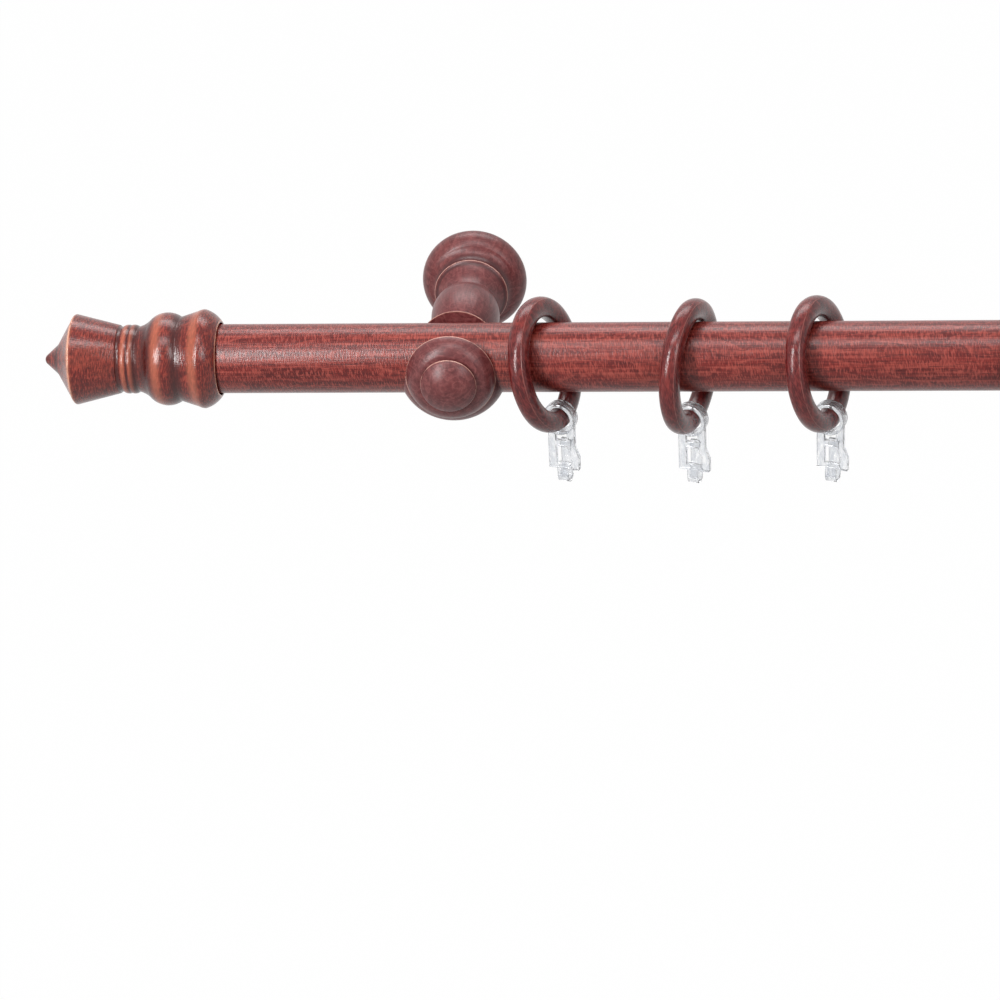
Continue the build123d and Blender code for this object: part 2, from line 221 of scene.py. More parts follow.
@dataclass(frozen=True)
class Lathe:
    """An axis to turn pieces about.

    Attributes:
        start: Where the axis starts.
        axis: Where it points.
        up: The side on which the outline is drawn.
        steps: How many steps a full turn takes.
    """

    start: Vector
    axis: Vector
    up: Vector
    steps: int

    def place(self, point: Point) -> Vector:
        """The place in the frame of an outline's point, given in millimetres."""
        return self.start + (self.axis * point[0] + self.up * point[1]) * MM

    def turn(self, name: str, outline: Outline) -> bpy.types.Object:
        """Turns an outline into a closed mesh.

        Args:
            name: The new piece's name.
            outline: The half outline, which starts and ends on the axis or closes on itself.

        Returns:
            The turned piece, with its place in its mesh.
        """
        deselect()
        bpy.ops.mesh.primitive_plane_add(size=MM, location=(0, 0, 0), enter_editmode=True)
        bpy.ops.mesh.merge(type="CENTER")
        here = self.place(outline.points[0])
        bpy.ops.transform.translate(value=here)
        for point in outline.points[1:]:
            there = self.place(point)
            bpy.ops.mesh.extrude_vertices_move(TRANSFORM_OT_translate={"value": there - here})
            here = there
        bpy.ops.mesh.select_all(action="SELECT")
        bpy.ops.mesh.spin(steps=self.steps, angle=math.tau, center=self.start, axis=self.axis)
        bpy.ops.mesh.select_all(action="SELECT")
        bpy.ops.mesh.remove_doubles(threshold=TURNED_WELD * MM)
        bpy.ops.mesh.normals_make_consistent(inside=False)
        bpy.ops.object.mode_set(mode="OBJECT")
        piece = bpy.context.object
        piece.name = name
        return piece


def deselect() -> None:
    """Leaves nothing selected, so that an operator acts on new pieces alone."""
    bpy.ops.object.select_all(action="DESELECT")


def pick(piece: bpy.types.Object) -> None:
    """Makes one piece the only selected and active one."""
    deselect()
    piece.select_set(True)
    bpy.context.view_layer.objects.active = piece


def finish_with(piece: bpy.types.Object, kind: str, **settings: object) -> None:
    """Adds a modifier to a piece and applies it.

    Args:
        piece: The piece to work on.
        kind: Blender's name of the modifier's type.
        **settings: The modifier's values.
    """
    pick(piece)
    modifier = piece.modifiers.new(kind.lower(), kind)
    for key, value in settings.items():
        setattr(modifier, key, value)
    bpy.ops.object.modifier_apply(modifier=modifier.name)


def ease_arrises(piece: bpy.types.Object, width: float, sharper_than: float = 28.0) -> None:
    """Rounds the sharp arrises of a piece a little, as sanding and varnish do.

    Args:
        piece: The piece to work on.
        width: Width of the rounding, in millimetres.
        sharper_than: Angle above which an edge counts as an arris, in degrees.
    """
    finish_with(
        piece,
        "BEVEL",
        width=width * MM,
        segments=2,
        limit_method="ANGLE",
        angle_limit=math.radians(sharper_than),
        use_clamp_overlap=True,
    )


def smooth(piece: bpy.types.Object, angle: float = 40.0) -> None:
    """Shades a piece smooth apart from its arrises."""
    pick(piece)
    bpy.ops.object.shade_smooth_by_angle(angle=math.radians(angle))


def copy_of(piece: bpy.types.Object, name: str, move: Matrix) -> bpy.types.Object:
    """Copies a piece with a mesh of its own.

    Args:
        piece: The piece to copy.
        name: The copy's name.
        move: Where the copy goes from where the first one is.

    Returns:
        The copy, with its place in its mesh.
    """
    twin = piece.copy()
    twin.data = piece.data.copy()
    twin.name = name
    twin.data.transform(move)
    bpy.context.collection.objects.link(twin)
    return twin


def cut(piece: bpy.types.Object, cutter: bpy.types.Object) -> None:
    """Cuts one closed shape out of a piece and throws the cutter away."""
    finish_with(piece, "BOOLEAN", operation="DIFFERENCE", object=cutter, solver="EXACT")
    bpy.data.objects.remove(cutter)


def centre_of(node: str) -> Vector:
    """The middle of a CAD node's box."""
    low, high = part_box(node)
    return (low + high) / 2


def flat_axis_of(node: str) -> Vector:
    """The direction across a flat round CAD node, in which its vertices spread least.

    Args:
        node: The CAD node's name.

    Returns:
        The direction, of length one, on the side of +X.
    """
    places = np.array([vertex.co[:] for vertex in frame["nodes"][node].data.vertices])
    spread = np.linalg.svd(places - places.mean(0), full_matrices=False)[2]
    axis = Vector(spread[2])
    return axis if axis.x > 0 else -axis


def settle(piece: bpy.types.Object, body: str, slot: Slot, *nodes: str) -> None:
    """Ties a finished piece to its CAD body and hides the nodes that it stands for.

    Args:
        piece: The finished piece.
        body: The CAD body that it rides on.
        slot: The record's finish; not used.
        *nodes: The CAD nodes that it replaces.
    """
    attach(piece, body)
    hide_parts(*nodes)
    log.info("%s: %d faces on %s", piece.name, len(piece.data.polygons), body)


class Bench:
    """A material in the making: adds its nodes and joins them up.

    Attributes:
        LAYER_SHARE: Strength of each finer layer of noise, as a share of the layer before.
        material: The material.
        tree: Its nodes.
        output: The node that its shader goes to.
    """

    LAYER_SHARE = 0.62

    def __init__(self, name: str) -> None:
        """Starts a material with nothing but its output.

        Args:
            name: The material's name.
        """
        self.material = bpy.data.materials.new(name)
        self.material.use_nodes = True
        self.tree = self.material.node_tree
        self.tree.nodes.clear()
        self.output = self.tree.nodes.new("ShaderNodeOutputMaterial")

    def add(self, kind: str, **inputs: object) -> bpy.types.Node:
        """Adds a node and sets or links its inputs.

        Args:
            kind: Blender's name of the node's type.
            **inputs: Values or sockets by the input's name, with _ for a space.

        Returns:
            The new node.
        """
        made = self.tree.nodes.new(kind)
        for key, value in inputs.items():
            self.feed(made.inputs[key.replace("_", " ")], value)
        return made

    def feed(self, socket: bpy.types.NodeSocket, value: object) -> None:
        """Links a socket to another, or sets its value."""
        if isinstance(value, bpy.types.NodeSocket):
            self.tree.links.new(value, socket)
        else:
            socket.default_value = value

    def sum(self, operation: str, *terms: object) -> bpy.types.NodeSocket:
        """Works out a number from one, two or three terms.

        Args:
            operation: Blender's name of the operation.
            *terms: Values or sockets.

        Returns:
            The result's socket.
        """
        made = self.tree.nodes.new("ShaderNodeMath")
        made.operation = operation
        for socket, term in zip(made.inputs, terms):
            self.feed(socket, term)
        return made.outputs[0]

    def vector(self, operation: str, *terms: object) -> bpy.types.NodeSocket:
        """Works out a vector, or a length or distance, from one or two terms.

        Args:
            operation: Blender's name of the operation.
            *terms: Values or sockets.

        Returns:
            The result's socket.
        """
        made = self.tree.nodes.new("ShaderNodeVectorMath")
        made.operation = operation
        for socket, term in zip(made.inputs, terms):
            self.feed(socket, term)
        return made.outputs["Value" if operation in ("LENGTH", "DISTANCE") else "Vector"]

    def within(self, value: object, low: float, high: float) -> bpy.types.NodeSocket:
        """Eases from 0 at a low value to 1 at a high one, or down where low is above high."""
        made = self.tree.nodes.new("ShaderNodeMapRange")
        made.interpolation_type = "SMOOTHSTEP"
        falling = low > high
        self.feed(made.inputs["Value"], value)
        made.inputs["From Min"].default_value = min(low, high)
        made.inputs["From Max"].default_value = max(low, high)
        made.inputs["To Min"].default_value = 1.0 if falling else 0.0
        made.inputs["To Max"].default_value = 0.0 if falling else 1.0
        return made.outputs["Result"]

    def blend(self, share: object, first: object, second: object) -> bpy.types.NodeSocket:
        """Mixes two colours by a share of the second."""
        made = self.tree.nodes.new("ShaderNodeMix")
        made.data_type = "RGBA"
        ends = [socket for socket in made.inputs if socket.type == "RGBA"]
        self.feed(made.inputs[0], share)
        for socket, colour in zip(ends, (first, second)):
            self.feed(socket, colour if isinstance(colour, bpy.types.NodeSocket) else (*colour, 1))
        return next(socket for socket in made.outputs if socket.type == "RGBA")

    def noise(
        self, where: object, scale: Sequence[float], detail: float = 4.0, warp: float = 0.0
    ) -> bpy.types.NodeSocket:
        """Adds noise stretched by its own scale in each direction.

        Args:
            where: The socket of the coordinates, in millimetres.
            scale: Bumps to the millimetre along each axis.
            detail: How many finer layers lie on the first.
            warp: How far the pattern is distorted.

        Returns:
            The socket of the noise, from 0 to 1.
        """
        stretched = self.vector("MULTIPLY", where, tuple(scale))
        made = self.add(
            "ShaderNodeTexNoise", Vector=stretched, Scale=1.0, Detail=detail, Distortion=warp
        )
        made.inputs["Roughness"].default_value = self.LAYER_SHARE
        return made.outputs["Fac"]

    def local(self, lie: Matrix) -> bpy.types.NodeSocket:
        """Gives coordinates in millimetres in a piece's own frame.

        Args:
            lie: Where the piece's own frame is: X along its turning axis.

        Returns:
            The socket of the coordinates.
        """
        place = self.tree.nodes.new("ShaderNodeTexCoord").outputs["Object"]
        mapping = self.tree.nodes.new("ShaderNodeMapping")
        mapping.vector_type = "TEXTURE"
        self.feed(mapping.inputs["Vector"], place)
        mapping.inputs["Location"].default_value = lie.to_translation()
        mapping.inputs["Rotation"].default_value = lie.to_euler("XYZ")
        mapping.inputs["Scale"].default_value = (MM, MM, MM)
        return mapping.outputs["Vector"]

    def coated(
        self,
        colour: bpy.types.NodeSocket,
        gloss: bpy.types.NodeSocket,
        height: bpy.types.NodeSocket,
        strength: float,
        depth: float,
    ) -> bpy.types.Node:
        """Adds the shader of a surface with a fine relief.

        Args:
            colour: The socket of its colour.
            gloss: The socket of its roughness.
            height: The socket of its relief.
            strength: How strongly the relief shows, from 0 to 1.
            depth: Depth of the relief, in millimetres.

        Returns:
            The shader.
        """
        bump = self.add("ShaderNodeBump", Height=height, Strength=strength, Distance=depth * MM)
        return self.add(
            "ShaderNodeBsdfPrincipled", Base_Color=colour, Roughness=gloss, Normal=bump.outputs[0]
        )

    def close(self, shader: bpy.types.Node) -> bpy.types.Material:
        """Joins the shader to the output and returns the material."""
        self.tree.links.new(shader.outputs[0], self.output.inputs["Surface"])
        return self.material


# Marks to the millimetre, along the grain or the axis and then across it
SCRATCHES_TO_MM = (2.8, 0.45, 0.45)
GROWTH_TO_MM = (0.018, 0.075, 0.075)
CLOUDS_TO_MM = (0.02, 0.08, 0.08)
PORES_TO_MM = (0.14, 1.9, 1.9)
PATCHES_TO_MM = (0.25, 0.25, 0.25)
FLOW_TO_MM = (0.5, 0.5, 0.18)
GRIT_TO_MM = (3.0, 3.0, 3.0)
BLOOM_TO_MM = (0.35, 0.35, 0.35)
DRAWN_LINES_TO_MM = (2.5, 9.0, 2.5)
FLOOR_SPECKS_TO_MM = (0.05, 0.05, 0.05)

# Between which values of its noise a mark eases in
PALE_CLOUD = (0.50, 0.72)
DARK_CLOUD = (0.50, 0.30)
LATE_WOOD = (0.5, 0.95)
EARLY_WOOD = (0.4, 0.0)
PALE_STREAK = (0.50, 0.70)
DARK_STREAK = (0.50, 0.32)
PALE_SCRATCH = (0.53, 0.62)
DARK_SCRATCH = (0.48, 0.36)
OPEN_PORE = (0.40, 0.26)
WORN_PATCH = (0.30, 0.52)
CLEAR_FLOW = (0.35, 0.7)
DULL_BLOOM = (0.4, 0.65)

# How the wood's marks are made and how much each one shows
GROWTH_RINGS = 9.0
SCRATCH_SLANTS = (0.16, -0.3)
CROSSING_SHARE = 0.25
SEED_SHARES = (1.0, 0.37, 0.71)
DARK_SCRATCH_SHARE = 0.8
PORE_SHARE = 0.7
# Strength of the painted highlight on crests, partly thin stain
THIN_STAIN_AND_HIGHLIGHT_SHARE = 0.38
# Strength of the painted shade in grooves, partly pooled stain
GATHERED_STAIN_AND_SHADE_SHARE = 0.85
HOOP_CORE = 0.15
GRAIN_HEIGHT = 0.4
GLOSS_SPREAD = 0.16
VARNISH_IOR = 1.46


@dataclass(frozen=True)
class Hoop:
    """A circle on a turned piece where its colour differs: rubbed pale, thin or pooled stain,
    painted highlight, painted shade.

    Attributes:
        along: Distance along the turning axis, in millimetres.
        radius: Radius of the circle, in millimetres.
        width: How far it reaches from the circle, in millimetres.
    """

    along: float
    radius: float
    width: float

    def at(self, point: Point) -> "Hoop":
        """Moves a hoop that is given from a point of an outline to that point.

        Args:
            point: The point: its place along the axis and its radius.

        Returns:
            The moved hoop.
        """
        return Hoop(point[0] + self.along, point[1] + self.radius, self.width)


@dataclass(frozen=True)
class Marks:
    """The circles on a turned piece where its colour differs: wear, stain, painted highlights and
    painted shade.

    Attributes:
        worn: Arrises that are rubbed pale.
        thin_stain_and_highlight: Crests where the stain is thin, with a painted highlight: pale
            copper bands where the lamp glints.
        gathered_stain_and_shade: Grooves darkened with painted shade, partly stain pooled there.
    """

    worn: Sequence[Hoop] = ()
    thin_stain_and_highlight: Sequence[Hoop] = ()
    gathered_stain_and_shade: Sequence[Hoop] = ()


@dataclass(frozen=True)
class VarnishedWood:
    """Mahogany-stained wood under satin varnish.

    Attributes:
        dark: Stain in pores and dark grain, and the painted shade in grooves.
        body: The wood's main colour.
        light: The paler streaks of the grain.
        glow: Paler clouds where the stain is thin, and the painted copper highlight on crests.
        worn: Arrises from which the stain is rubbed.
        streak: Streaks to the millimetre across the grain.
        stretch: How many times longer a streak is than it is wide.
        streaks: How much the streaks show, from 0 to 1.
        figure: How much the flame figure of the growth rings shows, from 0 to 1.
        cloud: How much broad lighter and darker clouds show, from 0 to 1.
        chatter: How much the turning marks show, from 0 to 1.
        roughness: Roughness of the varnish.
        shine: Specular level of the varnish.
        upright: Whether the grain runs along the piece's own Z and not along its axis.
        relief: Depth of the grain, in millimetres.
    """

    dark: Colour
    body: Colour
    light: Colour
    glow: Colour
    worn: Colour
    streak: float
    stretch: float
    streaks: float
    figure: float
    cloud: float
    chatter: float
    roughness: float
    shine: float
    upright: bool = False
    relief: float = 0.12

    def hoops(
        self, bench: Bench, spot: bpy.types.NodeSocket, hoops: Sequence[Hoop]
    ) -> bpy.types.NodeSocket | float:
        """Marks all points near any of some circles.

        Args:
            bench: The material in the making.
            spot: The socket of distance along the axis and radius.
            hoops: The circles.

        Returns:
            The socket of the mark, 1 on a circle and 0 away from it.
        """
        mark = 0.0
        for hoop in hoops:
            distance = bench.vector("DISTANCE", spot, (hoop.along, hoop.radius, 0.0))
            near = bench.within(distance, hoop.width, HOOP_CORE * hoop.width)
            mark = bench.sum("MAXIMUM", mark, near)
        return mark

    def scratches(self, bench: Bench, spot: bpy.types.NodeSocket) -> bpy.types.NodeSocket:
        """Adds the fine crossed marks that turning and sanding leave across a piece.

        Args:
            bench: The material in the making.
            spot: The socket of the coordinates in the piece's own frame, X along its axis.

        Returns:
            The socket of the marks, from 0 to 1.
        """
        parts = bench.add("ShaderNodeSeparateXYZ", Vector=spot).outputs
        halves = []
        for slant in SCRATCH_SLANTS:
            slid = bench.sum("MULTIPLY_ADD", parts["Z"], slant, parts["X"])
            place = bench.add("ShaderNodeCombineXYZ", X=slid, Y=parts["Y"], Z=parts["Z"])
            halves.append(bench.noise(place.outputs[0], SCRATCHES_TO_MM, 0.0))
        main = bench.sum("MULTIPLY", halves[0], 1 - CROSSING_SHARE)
        return bench.sum("MULTIPLY_ADD", halves[1], CROSSING_SHARE, main)

    def grain(
        self, bench: Bench, plank: bpy.types.NodeSocket, crossed: bpy.types.NodeSocket
    ) -> tuple[bpy.types.NodeSocket, bpy.types.NodeSocket]:
        """Colours the wood by its streaks, figure, clouds, scratches and pores.

        Args:
            bench: The material in the making.
            plank: The socket of the place in the plank, X along the grain.
            crossed: The socket of the turning marks.

        Returns:
            The sockets of the colour and of the grain's height.
        """
        fine, along = self.streak, self.streak / self.stretch
        streaks = bench.noise(plank, (along, fine, fine), 3.0, 0.2)
        growth = bench.noise(plank, GROWTH_TO_MM, 1.0, 0.3)
        cloud = bench.noise(plank, CLOUDS_TO_MM, 2.0, 0.6)
        pores = bench.noise(plank, PORES_TO_MM, 1.0)
        rings = bench.sum("FRACT", bench.sum("MULTIPLY", growth, GROWTH_RINGS))
        shares = (
            (bench.within(cloud, *PALE_CLOUD), self.cloud, self.glow),
            (bench.within(cloud, *DARK_CLOUD), self.cloud, self.dark),
            (bench.within(rings, *LATE_WOOD), self.figure, self.dark),
            (bench.within(rings, *EARLY_WOOD), self.figure, self.light),
            (bench.within(streaks, *PALE_STREAK), self.streaks, self.light),
            (bench.within(streaks, *DARK_STREAK), self.streaks, self.dark),
            (bench.within(crossed, *PALE_SCRATCH), self.chatter, self.light),
            (bench.within(crossed, *DARK_SCRATCH), DARK_SCRATCH_SHARE * self.chatter, self.dark),
            (bench.within(pores, *OPEN_PORE), PORE_SHARE, self.dark),
        )
        colour = self.body
        for where, share, tone in shares:
            colour = bench.blend(bench.sum("MULTIPLY", where, share), colour, tone)
        raised = bench.sum("MULTIPLY", pores, GRAIN_HEIGHT)
        return colour, bench.sum("MULTIPLY_ADD", streaks, GRAIN_HEIGHT, raised)

    def material(
        self, name: str, lie: Matrix, seed: float, marks: Marks = Marks()
    ) -> bpy.types.Material:
        """Makes the material of one piece.

        Args:
            name: The material's name.
            lie: The piece's own frame, X along its turning axis.
            seed: Where in the plank the piece was cut, in millimetres.
            marks: The circles where its colour differs, painted highlights and painted shade among
                them.

        Returns:
            The material.
        """
        bench = Bench(name)
        spot = bench.local(lie)
        parts = bench.add("ShaderNodeSeparateXYZ", Vector=spot).outputs
        across = bench.add("ShaderNodeCombineXYZ", Y=parts["Y"], Z=parts["Z"])
        radius = bench.vector("LENGTH", across.outputs[0])
        lathe_spot = bench.add("ShaderNodeCombineXYZ", X=parts["X"], Y=radius).outputs[0]
        if self.upright:
            turned = bench.add("ShaderNodeCombineXYZ", X=parts["Z"], Y=parts["Y"], Z=parts["X"])
            grown = turned.outputs[0]
        else:
            grown = spot
        plank = bench.vector("ADD", grown, tuple(seed * share for share in SEED_SHARES))
        crossed = self.scratches(bench, spot)
        colour, height = self.grain(bench, plank, crossed)
        patchy = bench.noise(plank, PATCHES_TO_MM, 4.0, 0.6)
        # Thin stain with painted highlights, pooled stain with painted shade, then rubbed arrises
        for hoops, share, tone in (
            (marks.thin_stain_and_highlight, THIN_STAIN_AND_HIGHLIGHT_SHARE, self.glow),
            (marks.gathered_stain_and_shade, GATHERED_STAIN_AND_SHADE_SHARE, self.dark),
            (marks.worn, bench.within(patchy, *WORN_PATCH), self.worn),
        ):
            if hoops:
                mark = bench.sum("MULTIPLY", self.hoops(bench, lathe_spot, hoops), share)
                colour = bench.blend(mark, colour, tone)
        height = bench.sum("MULTIPLY_ADD", crossed, self.chatter, height)
        gloss = bench.sum("MULTIPLY_ADD", patchy, GLOSS_SPREAD, self.roughness - GLOSS_SPREAD / 2)
        shader = bench.coated(colour, gloss, height, strength=0.8, depth=self.relief)
        shader.inputs["IOR"].default_value = VARNISH_IOR
        shader.inputs["Specular IOR Level"].default_value = self.shine
        return bench.close(shader)


@dataclass(frozen=True)
class ClearPlastic:
    """Clear moulded plastic with faint flow marks.

    Attributes:
        tint: The colour that light takes on in it.
        clear: The colour where it has flowed clear.
        roughness: Least roughness of its surface.
        roughness_spread: How much rougher fine grit makes it.
        clearness: How much light goes through, from 0 to 1.
        index: How strongly it bends light.
        relief: Depth of the flow marks, in millimetres.
    """

    tint: Colour
    clear: Colour = (0.97, 0.97, 0.97)
    roughness: float = 0.05
    roughness_spread: float = 0.12
    clearness: float = 0.92
    index: float = 1.49
    relief: float = 0.12

    def material(self, name: str, seed: float) -> bpy.types.Material:
        """Makes the material of one hook.

        Args:
            name: The material's name.
            seed: Shifts the flow marks, in millimetres.

        Returns:
            The material.
        """
        bench = Bench(name)
        spot = bench.vector("ADD", bench.local(Matrix.Identity(4)), (seed, 0.0, 0.0))
        flow = bench.noise(spot, FLOW_TO_MM, 3.0, 1.2)
        grit = bench.noise(spot, GRIT_TO_MM, 4.0)
        tint = bench.blend(bench.within(flow, *CLEAR_FLOW), self.tint, self.clear)
        gloss = bench.sum("MULTIPLY_ADD", grit, self.roughness_spread, self.roughness)
        shader = bench.coated(tint, gloss, flow, strength=0.5, depth=self.relief)
        shader.inputs["IOR"].default_value = self.index
        shader.inputs["Transmission Weight"].default_value = self.clearness
        return bench.close(shader)


@dataclass(frozen=True)
class PlatedSteel:
    """Zinc-plated steel with fine drawn lines.

    Attributes:
        bright: The plating where it is clean.
        dull: The plating where it has gone dull.
        roughness: Least roughness of the plating.
        roughness_spread: How much rougher it is where it is dull.
        relief: Depth of the drawn lines, in millimetres.
    """

    bright: Colour
    dull: Colour
    roughness: float = 0.2
    roughness_spread: float = 0.25
    relief: float = 0.02

    def material(self, name: str) -> bpy.types.Material:
        """Makes the material and returns it."""
        bench = Bench(name)
        spot = bench.local(Matrix.Identity(4))
        bloom = bench.noise(spot, BLOOM_TO_MM, 5.0, 0.5)
        lines = bench.noise(spot, DRAWN_LINES_TO_MM, 3.0)
        colour = bench.blend(bench.within(bloom, *DULL_BLOOM), self.bright, self.dull)
        gloss = bench.sum("MULTIPLY_ADD", bloom, self.roughness_spread, self.roughness)
        shader = bench.coated(colour, gloss, lines, strength=0.4, depth=self.relief)
        shader.inputs["Metallic"].default_value = 1.0
        return bench.close(shader)


POLE_WOOD = VarnishedWood(
    dark=stain(64, 8, 9),
    body=stain(108, 27, 23),
    light=stain(156, 72, 62),
    glow=stain(172, 72, 50),
    worn=stain(196, 130, 112),
    streak=0.85,
    stretch=40.0,
    streaks=0.75,
    figure=0.45,
    cloud=0.2,
    chatter=0.65,
    roughness=0.3,
    shine=0.42,
)
FINIAL_WOOD = VarnishedWood(
    dark=stain(56, 6, 6),
    body=stain(104, 25, 20),
    light=stain(146, 60, 46),
    glow=stain(208, 122, 92),
    worn=stain(220, 162, 136),
    streak=0.7,
    stretch=12.0,
    streaks=0.3,
    figure=0.1,
    cloud=0.1,
    chatter=0.75,
    roughness=0.24,
    shine=0.5,
)
BRACKET_WOOD = VarnishedWood(
    dark=stain(62, 22, 24),
    body=stain(101, 47, 48),
    light=stain(134, 78, 76),
    glow=stain(138, 66, 54),
    worn=stain(208, 160, 146),
    streak=0.6,
    stretch=10.0,
    streaks=0.4,
    figure=0.3,
    cloud=0.12,
    chatter=0.25,
    roughness=0.36,
    shine=0.42,
)
RING_WOOD = VarnishedWood(
    dark=stain(54, 10, 13),
    body=stain(92, 26, 27),
    light=stain(130, 52, 48),
    glow=stain(156, 56, 44),
    worn=stain(134, 76, 70),
    streak=0.7,
    stretch=14.0,
    streaks=0.5,
    figure=0.2,
    cloud=0.4,
    chatter=0.5,
    roughness=0.22,
    shine=0.42,
    upright=True,
)
HOOK_PLASTIC = ClearPlastic(tint=stain(218, 221, 226))
ZINC = PlatedSteel(bright=stain(205, 205, 200), dull=stain(150, 150, 146))

GRAIN_ALONG_WALL = Matrix.Rotation(math.radians(-90), 4, "Z")

# Where each kind of piece starts in its noise, and how far apart its pieces are there
POLE_SEED = 40.0
FINIAL_SEED, FINIAL_APART = 70.0, 20.0
BRACKET_SEED, BRACKET_APART = 200.0, 30.0
RING_SEED, RING_APART = 310.0, 57.0
HOOK_APART = 13.0


@dataclass
class Pole:
    """The turned pole, with chamfered ends and the pilot bores for the finials' screws.

    Attributes:
        chamfer: Chamfer round each end, in millimetres.
        bore: Radius of the pilot bores, in millimetres.
        bore_depth: Depth of the pilot bores, in millimetres.
        arris: Rounding of the arrises, in millimetres.
        low: The lower corner of the pole's box, from its CAD node.
        high: The upper corner of that box.
    """

    chamfer: float = 0.8
    bore: float = 2.6
    bore_depth: float = 26.0
    arris: float = 0.2
    low: Vector = field(init=False)
    high: Vector = field(init=False)

    def __post_init__(self) -> None:
        """Takes the pole's length, radius and place from its CAD node."""
        self.low, self.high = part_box("pole")

    @property
    def radius(self) -> float:
        """The pole's radius, in millimetres."""
        return (self.high.z - self.low.z) / 2 / MM

    @property
    def axis_start(self) -> Vector:
        """The middle of the pole's left end."""
        middle = (self.low + self.high) / 2
        return Vector((self.low.x, middle.y, middle.z))

    def build(self) -> bpy.types.Object:
        """Turns the pole and returns it."""
        length = (self.high.x - self.low.x) / MM
        outline = Outline((self.bore_depth, 0.0)).line_to(
            (self.bore_depth, self.bore),
            (0.0, self.bore),
            (0.0, self.radius - self.chamfer),
            (self.chamfer, self.radius),
            (length - self.chamfer, self.radius),
            (length, self.radius - self.chamfer),
            (length, self.bore),
            (length - self.bore_depth, self.bore),
            (length - self.bore_depth, 0.0),
        )
        lathe = Lathe(self.axis_start, Vector((1, 0, 0)), Vector((0, 0, 1)), steps=256)
        rod = lathe.turn("turned_pole", outline)
        ease_arrises(rod, self.arris)
        smooth(rod)
        return rod

    def dress(self, rod: bpy.types.Object) -> None:
        """Gives the pole its wood and ties it to its body."""
        lie = Matrix.Translation(self.axis_start)
        rod.data.materials.append(POLE_WOOD.material("stained_pole", lie, POLE_SEED))
        settle(rod, "root", Slot.POLE, "pole")


